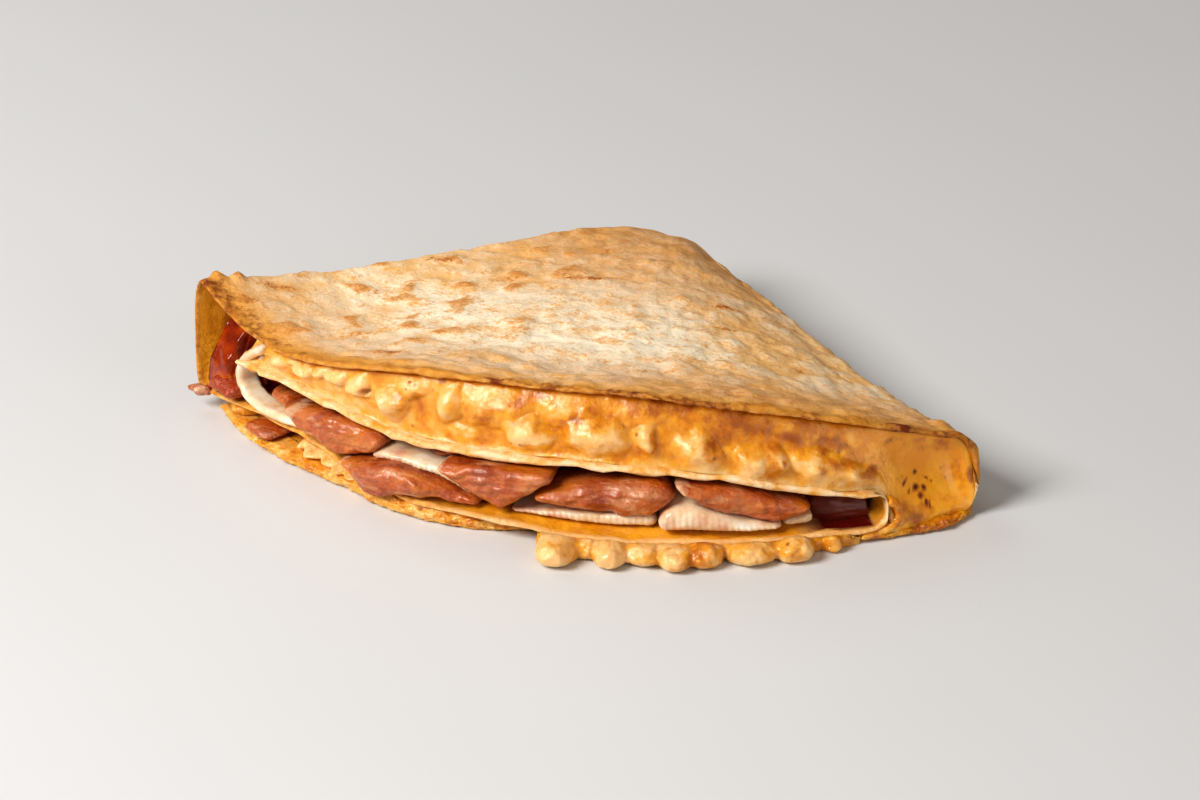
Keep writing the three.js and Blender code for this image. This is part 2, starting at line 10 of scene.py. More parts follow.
import bpy
import numpy as np
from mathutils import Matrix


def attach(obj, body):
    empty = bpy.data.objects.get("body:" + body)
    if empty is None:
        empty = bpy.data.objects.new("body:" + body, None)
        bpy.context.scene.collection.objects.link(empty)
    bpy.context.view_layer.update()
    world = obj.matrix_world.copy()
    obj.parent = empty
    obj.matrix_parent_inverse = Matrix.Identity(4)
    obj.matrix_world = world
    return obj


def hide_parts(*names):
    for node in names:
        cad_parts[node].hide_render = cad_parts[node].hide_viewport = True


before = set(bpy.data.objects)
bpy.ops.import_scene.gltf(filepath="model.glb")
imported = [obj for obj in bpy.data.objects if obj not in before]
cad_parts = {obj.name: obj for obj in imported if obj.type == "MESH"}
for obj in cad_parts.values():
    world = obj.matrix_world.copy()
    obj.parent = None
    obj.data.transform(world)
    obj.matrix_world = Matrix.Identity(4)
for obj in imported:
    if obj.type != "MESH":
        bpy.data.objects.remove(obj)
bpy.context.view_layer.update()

# ---- Driving sizes, as in the CAD part ----
RIM = 125.0  # radius of the flat tortilla
SHEET = 1.8  # its thickness
CLEAR = 0.35  # between the tortilla and a filling
INNERMOST = 2.0  # radius at which the sheet begins
TIP = (2.2, 68.6)
FOLD = {"left": -49.0, "right": 46.0, "inner": 35.2}
SLIT = {"upper": -41.3, "bottom": -45.6}
THIN_TIP = 0.45  # share of the thickness that is left at the tip
PINCHED_TO = 18.0
NOSE = {"height": 9.0, "apart": 1.4, "reach": 14.0}
SQUARENESS = {"left": 2.6, "right": 2.15, "inner": 2.6}
VIEW_TURN = 15.5  # degrees from the front to the side that the camera sees
MM = 0.001


# ---- Curves and blends ----
def lerp(a, b, t):
    return a + (b - a) * t


def rising(x, low, high):
    t = np.clip((x - low) / (high - low), 0, 1)
    return t * t * (3 - 2 * t)


def fading(x, low, high):
    return 1 - rising(x, low, high)


def hump(x, width):
    """1 where x is 0, falling smoothly on both sides."""
    return np.exp(-((x / width) ** 2))


def rounded(share, power=2.2):
    """Rises from 0 to 1 like the rounded edge of a slab."""
    return (1 - (1 - np.clip(share, 0, 1)) ** power) ** (1 / power)


def squared(wave, power):
    """A wave between -1 and 1, made squarer by a power below 1."""
    return np.sign(wave) * np.abs(wave) ** power


def through(*knots):
    """A smooth curve y(x) through a few (x, y) knots, level beyond its ends."""
    x, y = np.array(knots, float).T
    slope = np.empty_like(y)
    slope[1:-1] = (y[2:] - y[:-2]) / (x[2:] - x[:-2])
    slope[0] = (y[1] - y[0]) / (x[1] - x[0])
    slope[-1] = (y[-1] - y[-2]) / (x[-1] - x[-2])

    def curve(at):
        at = np.clip(at, x[0], x[-1])
        i = np.clip(np.searchsorted(x, at, side="right") - 1, 0, len(x) - 2)
        span = x[i + 1] - x[i]
        t = (at - x[i]) / span
        bend = t * (1 - t) * span
        return lerp(y[i], y[i + 1], t * t * (3 - 2 * t)) + bend * ((1 - t) * slope[i] - t * slope[i + 1])

    return curve


def points(x, y, z):
    return np.stack(np.broadcast_arrays(x, y, z), -1)


def place(angle, radius, height):
    turn = np.radians(angle)
    return points(TIP[0] + radius * np.sin(turn), TIP[1] - radius * np.cos(turn), height)


def arc(angle, radius):
    """The length in mm of an angle at a radius."""
    return np.radians(angle) * radius


def degrees_across(length, radius):
    return np.degrees(length / radius)


def column(start, end, count):
    """Figures down a column, such as one angle for each loop of a mesh."""
    return np.linspace(start, end, count)[:, None]


def row(start, end, count):
    """Figures along a row, such as one share for each point of a loop."""
    return np.linspace(start, end, count)[None]


def half_turn(count):
    """Angles that run up round an edge, in radians."""
    return row(-np.pi / 2, np.pi / 2, count)


# ---- The sheet's four layers ----
RIM_OF = {
    "top": through(
        (-47, 122.5), (-38, 121), (-25, 121), (-5, 117), (16, 117.5), (27, 119), (42, 121.5), (46, 124)
    ),
    "upper": through((-41, 121), (0, 122), (18, 123), (34, 126)),
    "lower": through((-47, 123.5), (-37, 119.5), (-27, 120), (-18, 125), (36, 126.5)),
    "bottom": through(
        (-45, 121.2), (-34, 121.8), (-23, 121.8), (-16, 124.4), (-6, 123.5), (8, 115), (32, 115), (41, 124)
    ),
}
crown = through(
    (2, 11.1), (3.5, 15.2), (5.5, 17.6), (10, 19.7), (16, 21.3), (28, 23.3), (60, 25.3),
    (95, 28.6), (125, 35.8),
)
lower_gap_inside = through((INNERMOST, 0.4), (12, 0.9), (35, 2.4))
lower_gap_at_rim = through((-47, 2), (-36, 3.3), (-26, 3.2), (-18, 2.2), (-8, 1.5), (5, 1.3))
pocket_at_rim = through(
    (-41, 9.2), (-31, 10.9), (-18, 10.3), (-10, 10.8), (2, 12.6), (10, 12.2), (17, 11.3),
    (22, 9.5), (27, 7.1), (34, 4.7),
)
shoulder = through(
    (2, 0), (15, 0.7), (26, 0.77), (38, 0.76), (50, 0.83), (65, 0.95), (85, 1.05), (105, 1.06), (120, 1)
)
DROOP = 1.15
DIP = {"angle": -35, "depth": 0.28, "left": 14, "right": 18}
FALL = {"from": 5, "over": 37.5, "depth": 0.44}


def thickness(radius):
    return SHEET * lerp(THIN_TIP, 1, rising(radius, INNERMOST, PINCHED_TO))


def close_up(rank, radius, height):
    return lerp(NOSE["height"] + rank * NOSE["apart"], height, rising(radius, INNERMOST, NOSE["reach"]))


def level_of_lower(angle, radius):
    outward = rising(radius, RIM / 2, RIM)
    return 1.5 * thickness(radius) + lerp(lower_gap_inside(radius), lower_gap_at_rim(angle), outward)


def bottom_layer(angle, radius):
    return close_up(-1.5, radius, thickness(radius) / 2) + 0 * angle


def lower_layer(angle, radius):
    droop = DROOP * rising(angle, -3, 7) * rising(radius, 115.5, RIM)
    return close_up(-0.5, radius, level_of_lower(angle, radius) - droop)


def upper_layer(angle, radius):
    opening = ((radius - INNERMOST) / (RIM - INNERMOST)) ** 0.8
    pocket = lerp(CLEAR, pocket_at_rim(angle), opening)
    return close_up(0.5, radius, level_of_lower(angle, radius) + thickness(radius) + pocket)


def top_layer(angle, radius):
    away = angle - DIP["angle"]
    dip = DIP["depth"] * (radius / RIM) ** 2 * hump(away, np.where(away < 0, DIP["left"], DIP["right"]))
    fall = FALL["depth"] * np.maximum(0, (angle - FALL["from"]) / FALL["over"]) ** 1.8 * shoulder(radius)
    return crown(radius) * (1 - dip - fall)


LAYER = {"bottom": bottom_layer, "lower": lower_layer, "upper": upper_layer, "top": top_layer}
BULGE = {
    "left": lambda r: 0.8 + 3 * (r / RIM) ** 0.6,
    "right": lambda r: 0.8 + 5.7 * (r / RIM) ** 0.6,
    "inner": lambda r: 0.4 + 2.6 * (r / RIM),
}


def above(name, angle, radius):
    return LAYER[name](angle, radius) + thickness(radius) / 2 + CLEAR


def below(name, angle, radius):
    return LAYER[name](angle, radius) - thickness(radius) / 2 - CLEAR


def inset_near_tip(radius):
    return degrees_across(thickness(radius) + CLEAR + 0.2, radius)


def fold_start(fold, radius):
    line = FOLD[fold] + 0 * radius
    if fold == "inner":
        line = np.minimum(line, FOLD["right"] - inset_near_tip(radius))
    side = 1 if fold == "left" else -1
    return line + side * degrees_across(BULGE[fold](radius), radius)


# ---- Seeded noise ----
class Noise:
    """Smooth gradient noise in space, about -1 to 1."""

    def __init__(self, seed):
        random = np.random.RandomState(seed)
        self.order = np.tile(random.permutation(256), 2)
        gradients = random.normal(size=(256, 3))
        self.gradients = gradients / np.linalg.norm(gradients, axis=1)[:, None]

    def __call__(self, at):
        shape = at.shape[:-1]
        at = at.reshape(-1, 3)
        cell = np.floor(at).astype(int)
        inside = at - cell
        fade = inside**3 * (inside * (inside * 6 - 15) + 10)
        total = np.zeros(len(at))
        for corner in np.ndindex(2, 2, 2):
            x, y, z = ((cell + corner) & 255).T
            gradient = self.gradients[self.order[self.order[self.order[x] + y] + z]]
            weight = np.prod(np.where(corner, fade, 1 - fade), axis=1)
            total += weight * np.einsum("ij,ij->i", gradient, inside - corner)
        return (1.6 * total).reshape(shape)

    def layered(self, at, octaves=3):
        return sum(self(at * 2**i + 17.3 * i) / 2**i for i in range(octaves))


blister = Noise(3)
ragged = Noise(5)
cheese_noise = Noise(11)
meat_noise = Noise(21)


# ---- Meshes ----
def out_and_back(*faces):
    """Loops that run along every face in turn, and back along the last one."""
    return np.concatenate([*faces[:-1], faces[-1][:, ::-1]], axis=1)


def loft(name, loops, masks=None):
    """A closed mesh through loops of points (loop, point, xyz) whose halves run out and back."""
    count, size = loops.shape[:2]
    index = np.arange(count * size).reshape(count, size)
    here, there = index[:-1], index[1:]
    sides = np.stack([here, there, np.roll(there, -1, 1), np.roll(here, -1, 1)], -1).reshape(-1, 4)
    k = np.arange(size // 2 - 1)
    first = np.stack([k, k + 1, size - 2 - k, size - 1 - k], -1)
    last = index[-1, 0] + first[:, ::-1]
    return mesh_piece(name, loops.reshape(-1, 3), np.concatenate([sides, first, last]), masks or {})


def mesh_piece(name, corners, faces, masks):
    mesh = bpy.data.meshes.new(name)
    mesh.from_pydata(corners * MM, [], faces)
    for mask, values in masks.items():
        layer = mesh.attributes.new(mask, "FLOAT", "POINT")
        layer.data.foreach_set("value", np.broadcast_to(np.ravel(values), len(corners)).astype(np.float32))
    mesh.shade_smooth()
    piece = bpy.data.objects.new(name, mesh)
    bpy.context.scene.collection.objects.link(piece)
    return piece


def finish(piece, slot, node):
    """Gives a piece its material, which is named after its slot, hangs it under the root body and hides the
    CAD node it stands for.
    """
    piece.data.materials.append(MATERIAL[slot])
    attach(piece, "root")
    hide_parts(node)


# ---- Materials ----
class Graph:
    """A material's node graph. Most methods add one node and give its output."""

    def __init__(self, name):
        self.material = bpy.data.materials.new(name)
        self.material.use_nodes = True
        self.tree = self.material.node_tree
        self.shader = self.tree.nodes["Principled BSDF"]
        self.space = self.tree.nodes.new("ShaderNodeTexCoord").outputs["Object"]
        self.colour = None

    def feed(self, socket, value):
        if isinstance(value, bpy.types.NodeSocket):
            self.tree.links.new(value, socket)
        else:
            socket.default_value = value

    def add(self, kind, output, inputs):
        node = self.tree.nodes.new("ShaderNode" + kind)
        for socket, value in inputs.items():
            self.feed(node.inputs[socket], value)
        return node.outputs[output]

    def surface(self, **values):
        """Finishes the material with the colour painted so far."""
        self.feed(self.shader.inputs["Base Color"], self.colour)
        for socket, value in values.items():
            self.feed(self.shader.inputs[socket.replace("_", " ")], value)
        return self.material

    def stretched(self, scale):
        """Space that is stretched along the view's width."""
        turn = (0, 0, math.radians(VIEW_TURN))
        return self.add("Mapping", "Vector", {"Vector": self.space, "Scale": scale, "Rotation": turn})

    def noise(self, size, space=None, detail=4.0, roughness=0.55, distortion=0.0):
        """Noise whose features are about size millimetres across."""
        shape = {"Scale": 1 / (size * MM), "Detail": detail, "Roughness": roughness, "Distortion": distortion}
        return self.add("TexNoise", "Fac", {"Vector": space or self.space, **shape})

    def cells(self, size):
        return self.add("TexVoronoi", "Distance", {"Vector": self.space, "Scale": 1 / (size * MM)})

    def band(self, value, low, high, start=0.0, end=1.0):
        ends = {"From Min": low, "From Max": high, "To Min": start, "To Max": end}
        result = self.add("MapRange", "Result", {"Value": value, **ends})
        result.node.interpolation_type = "SMOOTHSTEP"
        return result

    def patchy(self, size, low, high, start=0.0, end=1.0, **noise):
        """Patches about size millimetres across: a band of noise."""
        return self.band(self.noise(size, **noise), low, high, start, end)

    def maths(self, operation, values):
        result = values[0]
        for value in values[1:]:
            result = self.add("Math", "Value", {0: result, 1: value})
            result.node.operation = operation
        return result

    def times(self, *values):
        return self.maths("MULTIPLY", values)

    def plus(self, *values):
        return self.maths("ADD", values)

    def larger(self, *values):
        return self.maths("MAXIMUM", values)

    def ramp(self, value, *stops):
        colour = self.add("ValToRGB", "Color", {"Fac": value})
        elements = colour.node.color_ramp.elements
        while len(elements) < len(stops):
            elements.new(1.0)
        for element, (position, shade) in zip(elements, stops):
            element.position = position
            element.color = (*shade, 1)
        return colour

    def paint(self, colour, amount=None, strength=None):
        """Lays a colour over what is painted so far, where amount says, from 0 to 1."""
        if amount is None:
            self.colour = colour
            return
        node = self.tree.nodes.new("ShaderNodeMix")
        node.data_type = "RGBA"
        self.feed(node.inputs["Factor"], amount if strength is None else self.times(amount, strength))
        under, over = (s for s in node.inputs if s.type == "RGBA")
        self.feed(under, self.colour)
        self.feed(over, (*colour, 1) if isinstance(colour, tuple) else colour)
        self.colour = next(s for s in node.outputs if s.type == "RGBA")

    def mask(self, name):
        result = self.add("Attribute", "Fac", {})
        result.node.attribute_name = name
        return result

    def bump(self, height, distance):
        """Relief whose full height is distance millimetres."""
        return self.add("Bump", "Normal", {"Strength": 1.0, "Distance": distance * MM, "Height": height})


def tortilla_material():
    g = Graph("toasted_tortilla")
    along = g.stretched((0.8, 1, 1))
    streaked = g.stretched((0.16, 1, 1))
    grain = g.noise(0.9, detail=6, roughness=0.7)
    fluff = g.noise(3.6, along, detail=8, roughness=0.68)
    dots = g.plus(g.band(fluff, 0.25, 0.75, -0.4, 0.4), g.band(grain, 0.3, 0.7, -0.28, 0.28))

    # Flour and the tan of the baked dough, partly painted light and shade: the top's middle is painted paler
    # and its back and right front tanner.
    broad = g.patchy(26, 0.3, 0.7, -0.25, 0.15, space=along)
    flour = g.plus(g.times(g.mask("puff"), 0.4), g.times(fluff, 1.1), broad, g.times(g.mask("floury_and_lit"), 0.8))
    g.paint(g.ramp(flour, (0.25, (0.82, 0.45, 0.15)), (0.55, (0.95, 0.64, 0.32)), (0.95, (1.0, 0.9, 0.71))))
    # Painted shade in the tan: the back and the right front of the top are darkened.
    g.paint((0.66, 0.31, 0.085), g.times(g.mask("tanned_and_shaded"), g.band(fluff, 0.35, 0.65, 0.95, 0.55)))
    warm = g.band(g.plus(g.noise(8, along, detail=5), g.times(dots, 0.35)), 0.43, 0.75)
    g.paint((0.88, 0.47, 0.14), warm, 0.7)

    # Toast marks from the pan, from gold through brown to scorched.
    toast = g.plus(g.mask("toast"), g.times(dots, 0.8))
    g.paint((0.9, 0.5, 0.16), g.band(toast, -0.1, 0.75), 0.62)
    brown = g.ramp(grain, (0.35, (0.72, 0.32, 0.07)), (0.65, (0.55, 0.19, 0.035)))
    g.paint(brown, g.band(toast, 0.3, 1.25), 0.92)
    lines = g.patchy(2.2, 0.57, 0.7, space=streaked, detail=8, roughness=0.66)
    streaky = g.times(g.patchy(22, 0.44, 0.6, detail=2), g.mask("streaky"))
    g.paint((0.56, 0.22, 0.045), g.times(lines, streaky), 0.8)
    g.paint((0.78, 0.36, 0.08), g.band(g.plus(g.mask("scorch"), g.times(dots, 0.9)), -0.05, 0.8), 0.8)
    scorched = g.ramp(grain, (0.4, (0.5, 0.17, 0.04)), (0.62, (0.32, 0.07, 0.015)))
    g.paint(scorched, g.band(g.plus(g.mask("scorch"), g.times(dots, 1.0)), 0.35, 1.1), 0.9)

    # The rim: gilded, browned and burnt.
    gilt = g.band(g.plus(fluff, g.times(grain, 0.4)), 0.5, 0.95, 0.3, 0.9)
    g.paint((0.84, 0.43, 0.09), g.times(g.mask("gilded"), gilt))
    rim = g.times(g.mask("rim"), g.patchy(2.2, 0.25, 0.6, 0.55, detail=6))
    g.paint(g.ramp(fluff, (0.4, (0.5, 0.18, 0.012)), (0.6, (0.68, 0.31, 0.04))), rim)
    char = g.plus(g.mask("char"), g.patchy(1.8, 0.25, 0.75, -0.45, 0.45, detail=7, roughness=0.65))
    g.paint((0.2, 0.035, 0.005), g.band(char, 0.2, 1.1))

    # The inner face: cheese, its oil, crust and sauce, and painted shade that darkens the sauce near black
    # deep in the pocket.
    cream = g.times(g.mask("cream"), g.patchy(3, 0.25, 0.55, 0.7))
    cheesy = g.noise(3.6, along, detail=6, roughness=0.62)
    curd = g.ramp(cheesy, (0.36, (0.8, 0.36, 0.05)), (0.5, (0.91, 0.6, 0.29)), (0.64, (0.94, 0.75, 0.5)))
    g.paint(curd, cream)
    speckled = g.times(cream, g.patchy(1.7, 0.54, 0.68, space=along, detail=5, roughness=0.65))
    g.paint((0.66, 0.29, 0.03), speckled, 0.75)
    amber = g.times(g.mask("amber"), g.patchy(4, 0.2, 0.6, 0.7))
    g.paint(g.ramp(g.noise(5), (0.35, (0.66, 0.25, 0.006)), (0.65, (0.86, 0.41, 0.025))), amber)
    crust = g.times(g.mask("crust"), g.patchy(2, 0.25, 0.55, 0.5))
    g.paint(g.ramp(g.noise(2.2, detail=6), (0.35, (0.55, 0.2, 0.015)), (0.62, (0.88, 0.5, 0.12))), crust)
    # Painted shade: deep in the pocket and beside the right gap the inner face is painted a near-black sauce
    # red.
    sauce_and_shade = g.mask("sauce_and_shade")
    g.paint((0.12, 0.005, 0.001), sauce_and_shade)
    return g.surface(
        Roughness=g.band(g.larger(amber, sauce_and_shade), 0, 1, 0.6, 0.22),
        Specular_IOR_Level=0.25,
        Normal=g.bump(g.plus(fluff, g.times(grain, 0.22)), 0.7),
        Subsurface_Weight=0.08,
        Subsurface_Radius=(1.2, 0.6, 0.3),
        Subsurface_Scale=0.001,
    )


def cheese_material():
    g = Graph("melted_cheese")
    cloud = g.noise(4.5)
    pale = g.plus(g.mask("cream"), g.band(cloud, 0.25, 0.75, -0.3, 0.3))
    g.paint(g.ramp(pale, (0.15, (0.66, 0.25, 0.008)), (0.45, (0.78, 0.37, 0.04)), (0.8, (0.88, 0.56, 0.24))))
    web = g.ramp(g.noise(9, detail=3), (0.35, (0.88, 0.35, 0.002)), (0.65, (0.98, 0.47, 0.016)))
    g.paint(web, g.mask("web"), 0.82)
    rough_edge = g.patchy(2.4, 0.25, 0.75, -0.4, 0.4, detail=5, roughness=0.65)
    amber = g.ramp(cloud, (0.36, (0.5, 0.14, 0.002)), (0.5, (0.7, 0.26, 0.003)), (0.66, (0.88, 0.42, 0.016)))
    g.paint(amber, g.band(g.plus(g.mask("amber"), rough_edge), 0.2, 0.8), 0.95)
    # Browning, and painted shade under the top rim at the upper right.
    brown = g.ramp(cloud, (0.4, (0.3, 0.07, 0.003)), (0.62, (0.5, 0.16, 0.004)))
    g.paint(brown, g.band(g.plus(g.mask("brown"), g.times(rough_edge, 0.9)), 0.15, 0.95), 0.85)
    g.paint((0.13, 0.02, 0.001), g.band(g.mask("brown"), 1.1, 1.5))
    specks = g.times(g.band(g.cells(2.6), 0.24, 0.13), g.patchy(7, 0.52, 0.64, detail=2))
    g.paint((0.3, 0.07, 0.006), specks, 0.8)
    stretched_smooth = g.band(g.mask("web"), 0, 1, 1, 0.3)
    relief = g.plus(g.noise(1.4), g.times(g.noise(5, detail=2), 1.5))
    return g.surface(
        Roughness=g.patchy(6, 0.35, 0.65, 0.22, 0.48),
        Normal=g.bump(g.times(relief, stretched_smooth), 0.35),
        Subsurface_Weight=0.45,
        Subsurface_Radius=(2.4, 1.2, 0.35),
        Subsurface_Scale=0.0012,
        Coat_Weight=0.35,
        Coat_Roughness=0.07,
        Coat_Normal=g.bump(g.times(g.noise(2), stretched_smooth), 0.5),
    )


def sauce_material():
    g = Graph("barbecue_sauce")
    reds = (0.35, (0.15, 0.009, 0.0003)), (0.52, (0.32, 0.034, 0.0006)), (0.66, (0.54, 0.12, 0.002))
    g.paint(g.ramp(g.noise(7), *reds))
    shaded = g.mask("shaded")
    g.paint((0.07, 0.003, 0.0002), shaded, 0.75)
    return g.surface(
        Roughness=g.band(shaded, 0, 1, 0.08, 0.4),
        Specular_IOR_Level=0.4,
        Normal=g.bump(g.times(g.noise(4, detail=3), g.band(shaded, 0, 1, 1, 0.4)), 0.6),
        Coat_Weight=0.15,
        Coat_Roughness=0.04,
    )


def bacon_material():
    g = Graph("cooked_bacon")
    grain = g.stretched((0.5, 1, 0.8))
    marble = g.noise(6, grain, detail=7, roughness=0.66, distortion=0.4)
    lean = (0.3, (0.17, 0.014, 0.001)), (0.42, (0.32, 0.042, 0.002))
    streaks = (0.54, (0.5, 0.105, 0.007)), (0.7, (0.62, 0.21, 0.03))
    g.paint(g.ramp(marble, *lean, *streaks))
    g.paint((0.56, 0.21, 0.07), g.patchy(1.3, 0.5, 0.75), 0.4)
    g.paint((0.66, 0.33, 0.15), g.patchy(2.6, 0.55, 0.66, space=g.stretched((0.22, 1, 1)), detail=5), 0.55)
    g.paint((0.5, 0.16, 0.065), g.patchy(14, 0.48, 0.62, detail=3), 0.38)
    g.paint((0.6, 0.18, 0.01), g.patchy(9, 0.52, 0.66, space=grain), 0.75)
    fat = g.plus(g.mask("fat"), g.patchy(2.4, 0.25, 0.75, -0.4, 0.4, space=grain, detail=5))
    g.paint((0.72, 0.42, 0.25), g.band(fat, 0.3, 0.9), 0.9)
    sauced = g.plus(g.mask("sauced"), g.patchy(3, 0.25, 0.75, -0.3, 0.3, detail=3))
    g.paint((0.36, 0.035, 0.002), g.band(sauced, 0.3, 0.9), 0.9)
    return g.surface(
        Roughness=g.patchy(2.5, 0.3, 0.7, 0.12, 0.36, detail=3),
        Normal=g.bump(g.plus(g.noise(1.5, grain, detail=6, roughness=0.64), g.noise(4, detail=3)), 0.85),
        Subsurface_Weight=0.2,
        Subsurface_Radius=(1.5, 0.5, 0.3),
        Subsurface_Scale=0.001,
        Coat_Weight=0.6,
        Coat_Roughness=0.08,
        Coat_Normal=g.bump(g.noise(2.2, grain), 0.7),
    )


def onion_material():
    g = Graph("soft_onion")
    pinks = (0.35, (0.8, 0.54, 0.31)), (0.52, (0.88, 0.7, 0.5)), (0.7, (0.95, 0.84, 0.71))
    g.paint(g.ramp(g.noise(5), *pinks))
    g.paint((0.56, 0.24, 0.18), g.patchy(8, 0.52, 0.68, 0, 0.6, detail=2))
    return g.surface(
        Roughness=0.28,
        Normal=g.bump(g.noise(1.2, detail=3), 0.2),
        Subsurface_Weight=0.4,
        Subsurface_Radius=(2.5, 1.5, 0.9),
        Subsurface_Scale=0.0014,
        Coat_Weight=0.3,
        Coat_Roughness=0.12,
    )


MATERIAL = {
    "tortilla": tortilla_material(),
    "cheese": cheese_material(),
    "sauce": sauce_material(),
    "bacon": bacon_material(),
    "onion": onion_material(),
}


# ---- Tortilla ----
# Scorch marks on the top layer: angle, radius, length and width in mm, strength.
SCORCHES = (
    (-43.6, 116.5, 8, 4.5, 0.9), (-45, 105, 10, 3.5, 0.8), (-40, 86.4, 10, 6, 0.35),
    (-22.5, 108.5, 9, 4, 0.9), (-30.4, 104, 8, 5, 0.3), (-44.5, 64.6, 8, 3.5, 0.7),
    (-29.7, 58.6, 9, 3, 0.65), (-12.5, 47.4, 18, 2.2, 0.9), (-21.3, 31.8, 9, 5, 0.6),
    (-8.9, 60.9, 5, 2, 0.6), (25.3, 52.8, 8, 2.2, 1), (23.1, 65.3, 9, 2, 0.65), (36.3, 56, 12, 3, 0.4),
    (36.3, 30.4, 6, 1.8, 0.7), (32.3, 84.1, 3.5, 3.5, 0.6), (10.1, 96.3, 16, 1.8, 0.55),
)
# How far in from the rim each part's inner face is stained amber, in mm.
AMBER_REACH = {"left_fold": 60, "lower": 14, "right_fold": 60, "bottom": 12, "top": 30, "inner_fold": 7}
# Burnt peaks on the left corner: angle, depth in from the rim, height in mm.
CORNER_PEAKS = ((-48.2, 4.4, 2), (-47.6, 9.2, 1.4), (-46.6, 1.2, 0.9))
# Burnt stretches of the top rim: angle, half width in degrees, strength.
BURNT = (
    (-46, 3, 0.62), (-39, 4.5, 0.5), (-30, 4, 0.35), (-5.5, 1.6, 1.1), (0, 2.5, 0.55), (8, 5, 0.65),
    (17, 5, 0.75), (28, 2.5, 0.5), (37.5, 2, 1), (43, 3, 0.7),
)
SKIN = ("top", "right_fold", "left_fold")
OUTSIDE = (*SKIN, "bottom")
INNER_LAYERS = ("upper", "inner_fold", "lower")
EDGE_ROUND = 0.95  # how far in from an edge it rounds off
THINNEST = 0.16  # share of the thickness at an edge
THINNED = {"outside": 0.4, "inside": 0.48, "torn": 0.2}  # what the last millimetres before the rim lose
# How torn and how frayed a layer's rim is, in mm; the others have the plain values.
TORN = {"bottom": 0.9, "upper": 0.75}
FRAYED = {"bottom": 0.2, "upper": 0.3}
PLAIN_TORN, PLAIN_FRAYED = 0.4, 0.12


def aligned(at):
    """Points turned so that x runs across the view, along the streaks left by the pan."""
    turn = math.radians(VIEW_TURN)
    x, y, z = np.moveaxis(at, -1, 0)
    return points(x * math.cos(turn) + y * math.sin(turn), y * math.cos(turn) - x * math.sin(turn), z)


def scorch_mask(middle):
    at = aligned(middle)
    mask = 0
    for angle, radius, length, width, strength in SCORCHES:
        away = (at - aligned(place(angle, radius, 0.0))) / (length / 2, width / 2, 1)
        across, down, _ = np.moveaxis(away, -1, 0)
        mask = np.maximum(mask, strength * np.exp(-((across**2 + down**2) ** 1.3)))
    return mask


def burnt_mask(angle, depth):
    along = sum(strength * hump(angle - middle, width) for middle, width, strength in BURNT)
    at_left = rising(-angle, 26, 36)
    return np.clip(along, 0, 1) * fading(depth, lerp(1.2, 2.5, at_left), lerp(3.0, 7.5, at_left))


def ring_depths():
    """Distances in from the rim, close together where the rim's edge rounds off."""
    edge = [0, 0.07, 0.2, 0.4, 0.65, 0.95]
    near = np.arange(1.5, 18, 0.8)
    far = np.arange(18.6, RIM - INNERMOST, 1.3)
    return np.concatenate([edge, near, far, [RIM - INNERMOST]])[::-1]


DEPTHS = ring_depths()
WAYS = 1 - DEPTHS / (RIM - INNERMOST)


def rim_edge(name, angle, seed):
    """The rim's radius with the small unevenness of a real edge."""
    at = points(arc(angle, RIM), seed, 0)
    torn = TORN.get(name, PLAIN_TORN) * ragged.layered(at / (5, 1, 1))
    return RIM_OF[name](angle) + torn + FRAYED.get(name, PLAIN_FRAYED) * ragged(at / (0.9, 1, 1))


def layer_section(name, start, end, shares, seed):
    share = shares[:, None]
    radius = lerp(INNERMOST, rim_edge(name, lerp(start(RIM), end(RIM), share), seed), WAYS)
    angle = lerp(start(radius), end(radius), share)
    return name, angle, radius, LAYER[name](angle, radius)


def fold_section(fold, from_layer, to_layer, count, seed):
    side = -1 if fold == "left" else 1
    turn = np.pi * (np.arange(1, count) / count)[:, None]
    share = (1 - np.cos(turn)) / 2
    corner = fold_start(fold, RIM) + 0 * share
    edges = [rim_edge(layer, corner, seed) for layer in (from_layer, to_layer)]
    radius = lerp(INNERMOST, lerp(*edges, share), WAYS)
    start = fold_start(fold, radius)
    first, last = (LAYER[layer](start, radius) for layer in (from_layer, to_layer))
    power = 2 / SQUARENESS[fold]
    outward = BULGE[fold](radius) * squared(np.sin(turn), power)
    height = (first + last) / 2 + squared(np.cos(turn), power) * (first - last) / 2
    return fold + "_fold", start + side * degrees_across(outward, radius), radius, height


def even(count):
    return np.linspace(0, 1, count + 1)


def with_fine_start(count):
    return np.concatenate([[0, 0.0012, 0.003, 0.006, 0.011], even(count)[1:]])


def tortilla_sections():
    """The spiral in order, from the slit's upper edge to its bottom one."""

    def slit_upper(radius):
        return np.maximum(SLIT["upper"] + 0 * radius, FOLD["left"] + inset_near_tip(radius))

    def slit_bottom(radius):
        return SLIT["bottom"] + 0 * radius

    def start(fold):
        return lambda radius: fold_start(fold, radius)

    left, right, inner = map(start, ("left", "right", "inner"))
    return (
        layer_section("upper", slit_upper, inner, with_fine_start(58), 1),
        fold_section("inner", "upper", "lower", 12, 1),
        layer_section("lower", inner, left, even(50), 2),
        fold_section("left", "lower", "top", 20, 3),
        layer_section("top", left, right, even(190), 3),
        fold_section("right", "top", "bottom", 22, 3),
        layer_section("bottom", right, slit_bottom, 1 - with_fine_start(50)[::-1], 4),
    )


